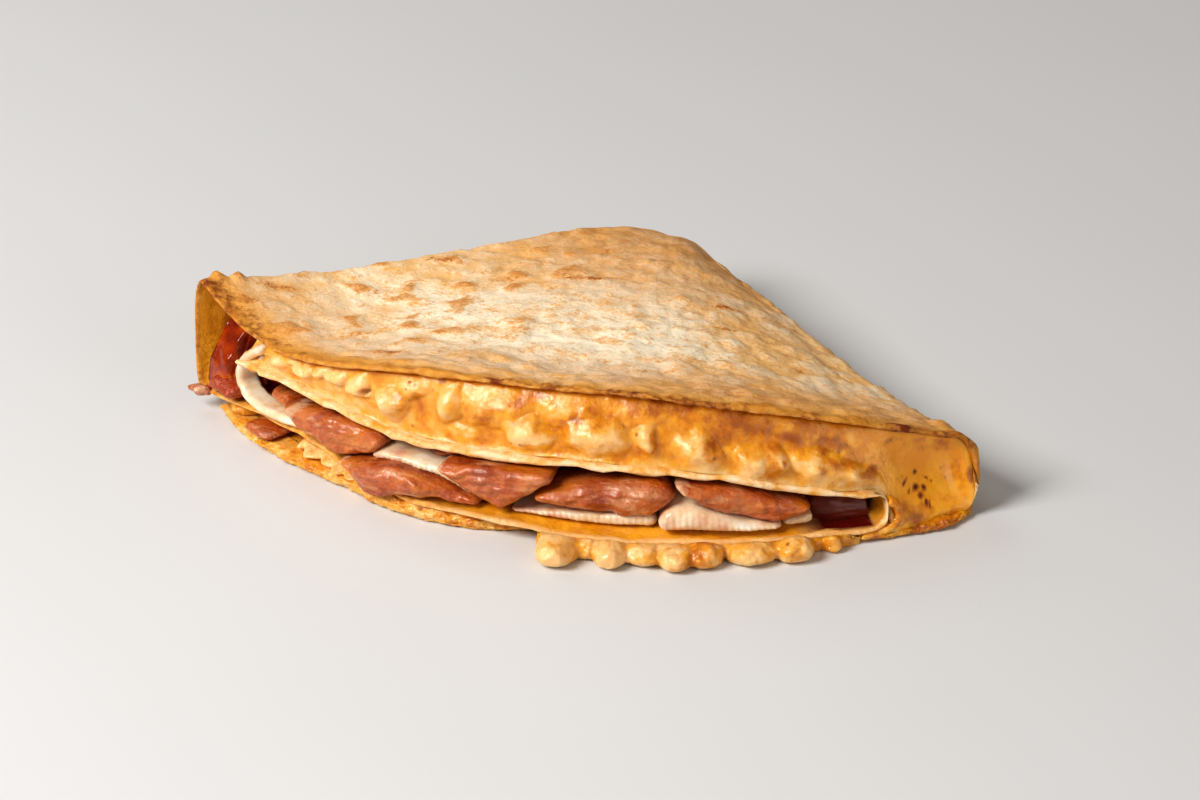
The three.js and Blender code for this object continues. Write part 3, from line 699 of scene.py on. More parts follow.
class Sheet:
    """The folded sheet's middle, as rows along the spiral and rings from the tip to the rim."""

    def __init__(self):
        names, *grids = zip(*tortilla_sections())
        self.names = np.repeat(names, [len(grid) for grid in grids[0]])
        self.angle, self.radius, height = (np.concatenate(grid) for grid in grids)
        self.middle = place(self.angle, self.radius, height)
        self.depth = DEPTHS[None, :] + 0 * self.radius
        to_slit = np.full(self.angle.shape, 99.0)
        for layer in SLIT:
            rows = self.names == layer
            to_slit[rows] = arc(self.angle - SLIT[layer], self.radius)[rows]
        self.rounding = np.maximum(THINNEST, rounded(np.minimum(self.depth, to_slit) / EDGE_ROUND))
        # The outer face is blistered by the pan: soft pillows, with creases and small wrinkles between them.
        self.at = aligned(self.middle)
        self.pillows = np.abs(blister.layered(self.at / (12, 9, 12), 2))
        self.puffs = np.abs(blister.layered(self.at / (5.6, 4.4, 6) + 30, 2))
        self.wrinkles = blister.layered(self.at / (2.8, 2.2, 2.8) + 60, 2)
        self.peaks = self.corner_peaks()

    def on(self, *wanted):
        """1 on the wanted layers and folds, 0 elsewhere."""
        return np.isin(self.names, wanted)[:, None] * 1.0

    def corner_peaks(self):
        peaks = 0
        for angle, depth, rise in CORNER_PEAKS:
            across = arc(self.angle - angle, self.radius)
            peaks = peaks + rise * np.exp(-np.hypot(across / 1.9, (self.depth - depth) / 1.4) ** 2.2)
        return peaks * self.on("top", "left_fold")

    def crust(self):
        """Where cheese has browned onto the inner face, along the bottom and the lower rim."""
        at_lower = self.on("lower") * fading(self.depth, 1.0, 3.0) * fading(self.angle, -14, -4)
        return self.on("bottom") * fading(self.depth, 3.0, 6.0) + at_lower

    def half_thickness(self):
        uneven = 1 + 0.3 * blister(self.middle / 7 + 150) * rising(self.radius, 20, 60)
        at_upper = lerp(THINNED["torn"], THINNED["inside"], rising(self.angle, 26, 34)) * self.on("upper")
        thinned = THINNED["outside"] * self.on(*OUTSIDE) + THINNED["inside"] * self.on("inner_fold", "lower")
        thinned = thinned + at_upper
        thin_rim = 1 - thinned * fading(self.depth, 0, 7)
        thin_rim = thin_rim * (1 + 0.35 * self.on(*INNER_LAYERS) * blister.layered(self.middle / 3 + 170, 2))
        return thickness(self.radius) / 2 * self.rounding * uneven * thin_rim

    def shifts(self):
        """How far the inner and the outer face stand out from a smooth sheet."""
        at, on, depth = self.at, self.on, self.depth
        calm = rising(blister(at / (34, 26, 30) + 90), -0.5, 0.3)
        relief = self.pillows + 0.65 * self.puffs * (0.4 + 0.6 * calm) + 0.2 * self.wrinkles - 0.43
        strength = rising(self.radius, 5, 28) * self.rounding * (1 - 0.75 * on("bottom"))
        torn_rim = on(*INNER_LAYERS) * fading(depth, 1.0, 4.5)
        crumbly = 0.45 * self.crust() * blister.layered(at / 1.7 + 10, 2)
        crumbly = crumbly + 0.4 * torn_rim * blister.layered(at / 2.1 + 300)
        blistered = np.where(on(*OUTSIDE) > 0, relief, 0.3 * relief)
        outer = (blistered + 0.4 * torn_rim * self.wrinkles) * strength
        inner = (0.25 * self.wrinkles + crumbly) * strength
        return np.where(on("bottom", "lower") > 0, np.maximum(inner, -0.3), inner), outer

    def lift(self):
        """How far the sheet sags between its folds, waves at its rims and peaks at the left corner."""
        at, depth, radius = self.at, self.depth, self.radius
        from_left = self.angle - fold_start("left", radius)
        to_right = fold_start("right", radius) - self.angle
        sag = 0.5 * blister(at / (26, 20, 20) + 120) * rising(radius, 10, 60) * self.on("top")
        sag = sag * rising(arc(np.minimum(from_left, to_right), radius), 0, 12)
        wave = 0.42 * blister.layered(at / 9 + 200, 2) * fading(depth, 6, 22)
        wave = wave + 0.22 * blister.layered(at / 2.6 + 220, 2) * fading(depth, 0.5, 5)
        return sag + wave * self.on(*INNER_LAYERS) + self.peaks

    def masks(self):
        """Toasted pillows, scorched and burnt places, oily faces, melted cheese and sauce stains, with
        painted light on the top's middle and painted shade at its back, its right front and deep in the
        pocket.
        """
        angle, radius, depth, on = self.angle, self.radius, self.depth, self.on
        skin = on(*SKIN)
        near_edge = fading(depth, 2, 11)
        toast = rising(self.pillows + 0.5 * self.puffs, 0.4, 0.95) * (0.35 + 0.75 * rising(-angle, 6, 28))
        toast = toast + 0.75 * near_edge * rising(-angle, 8, 28) + 0.25 * near_edge
        # Partly painted shade: tan near the tip and along the front, strongest at the right, where the top
        # turns from the light.
        at_front = fading(depth, 4, 40) * (0.7 + 0.6 * rising(angle, -4, 24))
        tanned_and_shaded = np.minimum(np.maximum(fading(radius, 22, 80), at_front), 1.15)
        charred = burnt_mask(angle, depth) * skin
        amber = sum(on(part) * fading(depth, reach * 0.8, reach) for part, reach in AMBER_REACH.items())
        # Painted shade over the sauce: the floor beside the right gap and the inner faces deep in the pocket
        # are painted dark.
        beside_gap = on("lower") * rising(angle, 26, 28.5) * rising(depth, 0.8, 2.2)
        sauce_and_shade = on("upper") * rising(depth, 1.2, 4) + on("inner_fold") * rising(depth, 5, 9)
        sauce_and_shade += on("left_fold") * rising(depth, 10, 17) + on("lower") * rising(depth, 5, 9)
        cheesy = on("upper", "inner_fold")
        skin_rim = fading(depth, 1.0, 5.0) * (1 - cheesy)
        crust = self.crust()
        # Each mask's values on the inner and on the outer face.
        sides = {
            "toast": (0, np.clip(toast, 0, 1) * skin + 0.35 * on("bottom")),
            "puff": (0, rising(self.pillows + 0.6 * self.puffs, 0.15, 0.9)),
            # Painted light on the top's middle, and painted shade in the tan at its back and right front.
            "floury_and_lit": (0, np.exp(-(((angle + 9) / 26) ** 2 + ((radius - 80) / 40) ** 2)) * skin),
            "tanned_and_shaded": (0, tanned_and_shaded * skin),
            "streaky": (0, np.maximum(rising(angle, -12, 18), fading(radius, 40, 75)) * skin),
            "scorch": (0, scorch_mask(self.middle) * on("top") + 0.7 * rising(self.peaks, 0.2, 1.2)),
            "gilded": (0, skin * fading(depth, 2, 10)),
            "rim": (skin_rim * (0.2 + 0.8 * skin), skin_rim * (0.2 + 0.7 * skin)),
            "char": (charred, charred),
            "amber": (amber * (rising(depth, 0.3, 1.6) * (1 - beside_gap)), 0),
            "crust": (crust, 0.6 * crust),
            "cream": (cheesy * fading(depth, 0.8, 2), cheesy),
            "sauce_and_shade": (np.maximum(sauce_and_shade, beside_gap), 0),
        }
        return {mask: out_and_back(*(side + 0 * angle for side in pair)) for mask, pair in sides.items()}


def tortilla():
    sheet = Sheet()
    normal = np.cross(np.gradient(sheet.middle, axis=0), np.gradient(sheet.middle, axis=1))
    normal /= np.linalg.norm(normal, axis=-1)[..., None]
    lifted = sheet.middle + sheet.lift()[..., None] * (0, 0, 1)
    half = sheet.half_thickness()
    inner_shift, outer_shift = sheet.shifts()
    inner_face = lifted + normal * (half + inner_shift)[..., None]
    outer_face = lifted - normal * (half + outer_shift)[..., None]
    outer_face[..., 2] = np.maximum(outer_face[..., 2], 0)
    return loft("tortilla_skin", out_and_back(inner_face, outer_face), sheet.masks())


# ---- Fillings between two layers ----
def inside_fold(fold, angle, radius, half):
    side = -1 if fold == "left" else 1
    start = fold_start(fold, radius)
    past = np.maximum(0, side * arc(angle - start, radius))
    joined = np.where(past > 0, start, angle)
    top = top_layer(joined, radius)
    bottom = LAYER["lower" if fold == "left" else "bottom"](joined, radius)
    wall = lerp(0.75 * thickness(radius) / 2 + 0.4 * CLEAR, 0.5, rising(radius, 116, 121))
    share = np.clip(past / (BULGE[fold](radius) - wall), 0, 0.985)
    reach = (1 - share ** SQUARENESS[fold]) ** (1 / SQUARENESS[fold])
    return (top + bottom) / 2 + half * ((top - bottom) / 2 - wall - np.where(share > 0, 0.1, 0)) * reach


def levels(rows):
    """Shares of the way up a face, without its two edges."""
    return row(0, 1, rows + 2)[:, 1:-1]


def ways_out(rings):
    """Shares of the way outward, closer together at the front."""
    return row(0, 1, rings) ** 0.7


def filling_loops(angle, back, fronts, floor, ceiling, up, bulge, rings):
    """Columns by angle: floor outward, front face upward, ceiling back inward."""
    front_low, front_high = fronts
    low, high = lerp(back, front_low, ways_out(rings)), lerp(back, front_high, ways_out(rings))
    rise = lerp(floor(front_low), ceiling(front_high), up)
    face = place(angle, lerp(front_low, front_high, up) + bulge, rise)
    return out_and_back(place(angle, low, floor(low)), face, place(angle, high, ceiling(high)))


def all_round(face, on_floor, on_ceiling, rings):
    """A mask for whole loops from its values on the face and one value each for the floor and ceiling."""
    under, over = (np.full((len(face), rings), value) for value in (on_floor, on_ceiling))
    return np.concatenate([under, face, over], axis=1)


# Melted lumps on the face: angle, level (0 floor, 1 ceiling), width and height in mm, how far they stand out.
LUMPS = (
    (-37.2, 0.7, 7, 6, 1), (-33.6, 0.64, 6.5, 7, 1.5), (-31.4, 0.8, 4, 4, 1.2),
    (-29.6, 0.66, 7, 7.5, 1.9), (-27.2, 0.8, 5, 6, 1.8), (-24.8, 0.74, 5, 6, 1.7),
    (-21.7, 0.66, 6, 7, 2.4), (-17.4, 0.5, 7.5, 8, 3.2), (-15.2, 0.8, 7, 5, 2),
    (-10.8, 0.66, 6, 9, 2.5), (-5.5, 0.72, 17, 9, 2.2), (-8.5, 0.2, 7, 4, 1.2),
    (-1.7, 0.31, 11, 7.5, 3.4), (2.5, 0.8, 15, 8, 1.6), (5.6, 0.42, 15, 8, 3.1),
    (11, 0.42, 4.5, 8, 2.2), (10.5, 0.84, 12, 6, 1), (16.2, 0.33, 10, 9, 3.3),
    (21.6, 0.27, 8.5, 8, 3.3), (24, 0.36, 6, 6, 2.8), (28.4, 0.34, 11, 8, 2.9), (31, 0.22, 7, 5, 2),
    (32.4, 0.26, 10, 6, 3), (34.3, 0.16, 5, 5, 2.6),
)
# Stretched, oily patches between the lumps: angle, level, width and height in mm, strength.
AMBER_PATCHES = (
    (-39, 0.4, 9, 9, 1), (-28, 0.95, 16, 4, 0.6), (-33.9, 0.5, 2.4, 4, 0.7), (-31.5, 0.44, 2.4, 4, 0.7),
    (-20.5, 0.4, 9, 3.5, 0.7), (-16.2, 0.62, 3, 5, 0.6), (-14, 0.42, 4.5, 9, 1),
    (-8.5, 0.12, 15, 2.5, 0.7), (-4.5, 0.6, 15, 4.5, 0.9), (0.5, 0.12, 20, 3, 0.9),
    (-5.4, 0.36, 6, 5, 0.8), (1.8, 0.52, 10, 5, 1), (5, 0.72, 12, 4, 0.8), (9, 0.16, 14, 4, 0.9),
    (12.6, 0.5, 6, 8, 0.75), (14, 0.85, 26, 6, 0.8), (17.6, 0.42, 4, 6, 0.9), (19.2, 0.55, 8, 9, 0.9),
    (23.6, 0.3, 4, 6, 1), (25.4, 0.64, 16, 6, 1), (30.4, 0.5, 9, 5, 0.85), (33.6, 0.3, 7, 3, 0.9),
    (41, 0.86, 16, 3.5, 0.75), (43.6, 0.5, 6, 12, 0.7), (37.4, 0.12, 5, 4, 0.8),
    (40, 0.06, 14, 2.6, 0.7), (38.5, 0.16, 12, 4, 1), (-1.6, 0.84, 22, 3.5, 0.8),
)
# Browned places on it and painted shade under the top rim at the upper right, in the same terms. Above 1.1
# they are burnt.
BROWNING_AND_SHADE = (
    (12.5, 0.95, 16, 4, 0.85), (20.8, 0.86, 18, 5, 1), (26.8, 0.82, 13, 4.5, 1),
    (29.6, 0.7, 11, 3.6, 1), (18.5, 0.6, 5, 5, 0.6), (24.6, 0.38, 2, 3, 0.9), (34, 0.38, 4, 2, 0.8),
    (-12.2, 0.95, 2, 1.6, 1), (-4.8, 0.7, 2.4, 1.2, 0.8), (3.8, 0.66, 4, 1.6, 0.8),
    (8.5, 0.62, 5, 1.4, 0.6), (37.9, 0.5, 1.4, 1.1, 1.6), (39.3, 0.52, 1.5, 1.2, 1.7),
    (40.4, 0.44, 1.2, 0.8, 1.6), (40.9, 0.4, 0.8, 0.8, 1.5), (39.1, 0.36, 1.6, 0.8, 1.8),
    (39.7, 0.33, 1, 0.9, 1.7), (39.2, 0.3, 1, 0.6, 1.6), (38.5, 0.38, 0.7, 0.7, 1.4),
    (39.5, 0.24, 1.1, 0.8, 1.7), (40, 0.22, 0.9, 0.7, 1.6), (45.6, 0.45, 2.4, 6, 1),
    (38, 0.1, 10, 2.4, 0.55), (36.6, 0.9, 6, 1.6, 0.6),
)
BUBBLE_HOLE = (-20.7, 0.6, 1.9, 1.9)
recess_in_fold = through((31.5, 0), (36.5, 0.7), (40, 1.8), (43.2, 2.7), (45, 2.3), (46, 2.1))
ledge = through((-41, 1.4), (-37, 2.9), (-25, 4), (-8, 3.8), (5, 3.1), (34, 2.4))
UPPER_BACK = 34.0
FACE_RISE = {"front": 14.0, "fold": 16}


def upper_cheese_floor(angle, radius):
    start = fold_start("inner", radius)
    past = arc(angle - start, radius)
    middle = (upper_layer(start, radius) + lower_layer(start, radius)) / 2
    share = past / (BULGE["inner"](radius) + 0.3 * thickness(radius))
    over_fold = (above("upper", start, radius) - middle) * np.sqrt(np.maximum(0, 1 - share**2))
    beside_fold = np.maximum(0, share - 1) * 14 * middle
    round_fold = np.maximum(middle + over_fold - beside_fold, above("bottom", angle, radius))
    floor = np.where(past <= 0, above("upper", angle, radius), round_fold)
    return np.maximum(floor, inside_fold("right", angle, radius, -1))


def patch_distance(angle, up, rise, middle, level, wide, tall):
    return np.hypot(arc(angle - middle, RIM) / (wide / 2), (up - level) * rise / (tall / 2))


def lump_field(angle, up, lumps, rise):
    """How far melted lumps stand out at each angle and level: rounded domes that merge."""
    total = 0
    for *where, out in lumps:
        dome = np.clip(1.35 - patch_distance(angle, up, rise, *where) ** 2, 0, None) / 1.35
        total = total + (out * dome**0.95) ** 3
    return total ** (1 / 3)


def patches(angle, up, listed, rise):
    mask = 0
    for *where, strength in listed:
        mask = np.maximum(mask, strength * np.exp(-(patch_distance(angle, up, rise, *where) ** 2.4)))
    return mask


def web_shift(angle, up, fronts, heights):
    """In the right fold the cheese is a stretched web: straight up from the floor and sucked inward."""
    lifted = np.clip((lerp(*heights, up) - 3) / (heights[1] - 3), 0, 1)
    straight = lerp(*fronts, lifted) - lerp(*fronts, up)
    sucked = 2 * np.sin(np.pi * lifted) * rising(angle, 32.5, 41.5)
    return rising(angle, 30.5, 34.6) * straight - sucked * (1 - 0.8 * rising(angle, 43.6, 45.3))


def upper_cheese():
    rings = 24
    angle = np.concatenate([column(-40.5, 34.4, 390), column(34.55, 45.7, 112)])  # the front, then the fold
    up = levels(50)
    in_fold = rising(angle, 31.0, 36.6)
    recess = recess_in_fold(angle)
    front_low = lerp(RIM_OF["upper"](angle) - ledge(angle), RIM_OF["lower"](angle) + 0.5, in_fold) - recess
    lean = 9 * fading(angle, -40, -35.2)
    front_high = RIM_OF["top"](angle) - lerp(2.4, 0.5, in_fold) - recess - lean

    def floor(radius):
        return upper_cheese_floor(angle, radius) - 0.75 * rising(radius, front_low - 7, front_low - 1)

    def ceiling(radius):
        return inside_fold("right", angle, radius, 1)

    # The face: lumps with uneven outlines, a burst bubble, and the smooth web in the fold.
    rise = lerp(FACE_RISE["front"], FACE_RISE["fold"], in_fold)
    spot = points(arc(angle, RIM), up * rise, 0)
    around = angle + np.degrees(1.5 * cheese_noise(spot / 5 + 50) / RIM)
    level = up + 0.09 * cheese_noise(spot / 5 + 70)
    lumps = lump_field(around, level, LUMPS, rise) * (1 + 0.2 * cheese_noise(spot / 3.4 + 90))
    rough = 0.3 * cheese_noise.layered(spot / 5) + 0.06 * cheese_noise(spot / 1.6)
    hole = np.exp(-(patch_distance(angle, up, rise, *BUBBLE_HOLE) ** 2))
    proud = 1.2 + lumps + rough - 1.8 * hole
    melted = np.sin(np.pi * up) ** 0.6 * proud * (1 - in_fold)
    foot = 1.5 * np.exp(-up * rise / 0.9) * (1 - in_fold)
    fronts = front_low, front_high
    web = web_shift(angle, up, fronts, (floor(front_low), ceiling(front_high)))
    bulge = melted + 0.3 * rough * in_fold + web + foot + 0.3

    pale = 0.25 + 0.42 * lumps / 2.5 + 0.28 * fading(angle, -27, -8) + 0.4 * np.exp(-up * rise / 1.6)
    # Browning, painted shade under the top rim, and the bubble's hole painted brown.
    brown = np.maximum(patches(around, level, BROWNING_AND_SHADE, rise), 1.2 * hole)
    masks = {
        "cream": all_round(np.clip(pale, 0, 1) * (1 - 0.25 * in_fold), 0.5, 0.3, rings),
        "amber": all_round(patches(around, level, AMBER_PATCHES, rise), 0.2, 0.5, rings),
        "brown": all_round(brown, 0, 0.2, rings),
        "web": all_round(rising(angle, 33.5, 38.5) + 0 * up, 0, 0, rings),
    }
    loops = filling_loops(angle, UPPER_BACK, fronts, floor, ceiling, up, bulge, rings)
    return loft("cheese_upper_melt", loops, masks)


# Squeezed-out drops: angle, reach, width and height in mm.
DROPS = (
    (2.7, 11, 10, 5.4), (5.6, 5.4, 6, 4), (7.8, 9.2, 7.6, 4.8), (11, 7, 10.5, 4), (13.9, 9.6, 7.5, 4.6),
    (16.6, 7.6, 9.5, 4.6), (21.2, 6.8, 12, 4.2), (25.4, 6.8, 9.5, 5), (29.3, 3.2, 4.4, 3.2),
)
# Lumps squeezed out between the two lowest layers at the left, in the same terms as on the upper cheese.
LEFT_LUMPS = (
    (-31.4, 0.5, 5.5, 5, 3), (-28.6, 0.5, 6.5, 5, 3.4), (-26, 0.45, 5, 5, 2.6), (-24, 0.6, 4.5, 5, 3),
    (-22.2, 0.4, 4, 4, 2.4), (-19.5, 0.5, 7, 4, 1.8), (-42.3, 0.5, 3, 3, 1), (-14, 0.5, 8, 3.5, 1.4),
    (-8, 0.5, 9, 3.5, 1.4),
)
OVER_STEP = 1.9
LOWER_BACK = 30.0
LOWER_ROWS = 30
LOWER_RINGS = 18


def cheese_behind_rim():
    """A thin layer behind the rim, hollowed where the bacon's end lies in it, with its cream mask."""
    angle = column(-44, -0.1, 190)
    up = levels(LOWER_ROWS)
    hollow = rising(angle, -41.4, -39.4) - rising(angle, -32.6, -30.6)
    behind = lerp(1.5, -OVER_STEP, rising(angle, -4, -0.6))
    front = np.minimum(RIM_OF["bottom"](angle), RIM_OF["lower"](angle)) - lerp(behind, 12, hollow)
    lumps = lump_field(angle, up, LEFT_LUMPS, 3.2)
    rough = 0.5 * cheese_noise.layered(points(arc(angle, RIM), up * 3, 5) / 3, 2)
    bulge = (0.3 + lumps + rough) * np.sin(np.pi * up) ** 0.6 * (1 - hollow)

    def floor(radius):
        return above("bottom", angle, radius)

    def ceiling(radius):
        return below("lower", angle, radius)

    loops = filling_loops(angle, LOWER_BACK, (front, front), floor, ceiling, up, bulge, LOWER_RINGS)
    return loops, np.clip(0.4 + 0.3 * lumps, 0, 1)


def merged(a, b):
    return (a**3 + b**3) ** (1 / 3)


def squeezed_drops():
    """Down off the bottom layer's edge, out under the lower rim and round up as drops, with their masks."""
    angle = column(0.4, 32.2, 220)
    step = RIM_OF["bottom"](angle) + OVER_STEP
    edge = RIM_OF["lower"](angle) + CLEAR
    ending = rising(angle, 32.2, 30.6)
    reach = lerp(2.2, 0.9, rising(angle, 26, 29)) * ending
    tall = lerp(1.2, 2.6, ending)
    for middle, out, wide, high in DROPS:
        across = 2 * arc(angle - middle, RIM + 6) / wide
        swell = np.maximum(0, 1 - np.abs(across) ** 2.4) ** 0.55
        reach, tall = merged(reach, out * swell), merged(tall, high * swell)
    floor_radius = lerp(LOWER_BACK, step - CLEAR, ways_out(LOWER_RINGS))
    over_radius = lerp(LOWER_BACK, edge, ways_out(LOWER_RINGS))
    turn = half_turn(LOWER_ROWS - 6)
    start = 0.34 * reach
    back = rising(levels(6), 0, 1)
    round_radius = edge - 0.3 + start + (reach - start) * np.cos(turn) ** 0.7
    radius = np.concatenate([round_radius, edge - 0.3 + start * (1 - back)], axis=1)
    round_height = tall / 2 * (1 + squared(np.sin(turn), 0.85))
    joined = np.minimum(lower_layer(angle, edge), tall + 0.6)
    height = np.concatenate([round_height, lerp(tall, joined, back)], axis=1)
    at = place(angle, radius, height)
    bumpy = 0.7 * cheese_noise.layered(at / 4.2) + 0.45 * cheese_noise.layered(at / 2.1 + 9, 2)
    bumpy = bumpy * rising(radius - edge, 0, 2.5)
    face = place(angle, radius + bumpy, np.maximum(0, height + 0.4 * bumpy * rising(height, 0, 1)))
    face[:, 0] = place(angle, step, 0.02)[:, 0]
    under = place(angle, floor_radius, above("bottom", angle, floor_radius))
    over = place(angle, over_radius, below("lower", angle, over_radius))
    cream = np.clip(0.25 + 0.06 * reach, 0, 0.8) + 0 * radius
    amber = 0.8 * hump(angle - 16.3, 2.6) + 0.25 * rising(angle, 18, 24) + 0 * radius
    return out_and_back(under, face, over), cream, amber


def lower_cheese():
    behind, cream_behind = cheese_behind_rim()
    drops, cream_drops, amber_drops = squeezed_drops()
    cream = np.concatenate([cream_behind, cream_drops])
    amber = np.concatenate([0.3 + 0 * cream_behind, amber_drops])
    masks = cheese_looks(*(all_round(face, 0.3, 0.3, LOWER_RINGS) for face in (cream, amber)))
    return loft("cheese_lower_melt", np.concatenate([behind, drops]), masks)


def cheese_looks(cream, amber, brown=0.0, web=0.0):
    return {"cream": cream, "amber": amber, "brown": brown, "web": web}


# ---- Sauce ----
SAUCE_FILM = 0.8
sauce_front = through((-47, 121), (-43, 120), (-38, 112.5), (-33, 110), (26, 112), (28, 120), (34, 121.5))


def sauce():
    angle = np.concatenate([column(-46.9, -43, 30), column(-42.5, 27, 80), column(27.3, 33.8, 40)])
    up = levels(24)
    left = fading(angle, -43.8, -43.2)
    right = rising(angle, 27.4, 28.2)
    filled = np.maximum(left, right)

    def floor(radius):
        return inside_fold("left", angle, radius, -1)

    def ceiling(radius):
        roof = np.where(angle < 0, inside_fold("left", angle, radius, 1), below("upper", angle, radius))
        return lerp(floor(radius) + SAUCE_FILM, roof - 0.2, filled)

    front = sauce_front(angle)
    back = np.maximum(24, (SHEET / 2 + CLEAR + 0.4) / np.radians(np.abs(FOLD["left"] - angle)))
    swollen = (1 + left) * np.sin(np.pi * up) + 2.2 * left * np.sin(np.pi * up**0.6)
    rough = (0.7 - 0.6 * right) * meat_noise.layered(place(angle, front, 30 * up) / 5 + 80, 2)
    fronts = front, front - 11 * left - 2 * right
    loops = filling_loops(angle, back, fronts, floor, ceiling, up, filled * (swollen + rough), 20)
    return loft("sauce_pool", loops, {"shaded": np.broadcast_to(right, loops.shape[:2])})


# ---- Bacon and onion ----
FRONT = 121.0
MM_PER_DEGREE = 2.12
COLUMNS_PER_DEGREE = 5.66
SLICE_RINGS = 14
END_ROUND = 2.2
DRAPED_TO = 1.4


def on_lower(angle):
    return above("lower", angle, FRONT) + 0.1


def in_pocket(height_in_front, angle, radius):
    floor_in_front = above("lower", angle, FRONT)
    share = (height_in_front - floor_in_front) / (below("upper", angle, FRONT) - floor_in_front)
    floor = above("lower", angle, radius) + SAUCE_FILM + CLEAR
    return lerp(floor, below("upper", angle, radius), np.clip(share, 0, 1))


def near(middle, width, amount=1.0):
    return lambda angle: amount * hump(angle - middle, width)


def flat(height):
    return lambda angle: height + 0 * angle


def slice_piece(
    name, left, right, back, front, high, low,
    hang=None, drapes=False, flap=2.4, wobble=0.2, ribs=0.0, layers=0.0,
    rind=0.0, foot_fat=0.4, pale=flat(0), sauced=0.0,
):
    """A slice that runs inward; its front edge is rounded and may hang down to a lower height."""
    angle = column(left, right, int((right - left) * COLUMNS_PER_DEGREE) + 1)
    share = (angle - left) / (right - left)
    from_end = np.minimum(share, 1 - share) * (right - left) * MM_PER_DEGREE
    taper = np.maximum(0.1, rounded(from_end / END_ROUND))
    along = points(arc(angle, FRONT), len(name), 3)
    sway = wobble * 1.6 * meat_noise.layered(along / 6, 2)
    top = high(angle) + 0.9 * wobble * meat_noise.layered(along / 5 + 20, 2)
    under = low(angle)
    lowest = DRAPED_TO if drapes else on_lower(angle) - 0.1
    foot = np.minimum(under, (hang or low)(angle))
    foot = np.maximum(foot + 0.9 * wobble * meat_noise.layered(along / 4 + 30, 2), lowest)

    # Inward from the flap the slice follows the pocket; outward its edge hangs and rounds off.
    start = front(angle) - flap
    radius = lerp(back, start, row(0, 1, SLICE_RINGS) ** 0.8)
    shown = rising(radius, start - 6, start - 1)
    under = lerp(in_pocket(under, angle, radius), under, shown)
    under = lerp(under, foot, rising(radius, start - 2.2, start))
    over = lerp(in_pocket(top, angle, radius), top, shown)
    centre = (under + over) / 2
    under, over = lerp(centre, under, taper), lerp(centre, over, taper)
    turn = half_turn(34)[:, 1:-1]
    middle, half = (over[:, -1:] + under[:, -1:]) / 2, (over[:, -1:] - under[:, -1:]) / 2
    out = start + (flap + sway) * np.cos(turn) ** 0.66 * (0.2 + 0.8 * taper)
    rise = middle + half * squared(np.sin(turn), 0.82)
    at = points(arc(angle, FRONT), rise, len(name))
    rough = wobble * meat_noise.layered(at / 4) + 0.4 * wobble * meat_noise(at / 1.1)
    rough = rough + layers * np.abs(meat_noise.layered(at / (11, 2.4, 1) + 60, 2))
    rough = rough + ribs * np.sin(2 * np.pi * at[..., 0] / 1.35)
    face = place(angle, out + rough * np.cos(turn), rise)

    edge_left = hump(share * (right - left) * MM_PER_DEGREE, 1.2) * rind
    foot_line = np.clip(1 - (rise - foot) / 0.9, 0, 1) * foot_fat
    fat_body = np.clip(edge_left + pale(angle), 0, 1)
    fat_face = np.clip(np.maximum(edge_left, foot_line) + pale(angle), 0, 1)
    looks = {"fat": all_round(fat_face, fat_body, fat_body, SLICE_RINGS), "sauced": sauced}
    return loft(name, out_and_back(place(angle, radius, under), face, place(angle, radius, over)), looks)


def corner_flap(angle):
    away = angle + 3.9
    return 6.0 + np.abs(away) * np.where(away < 0, 1.0, 1.6)


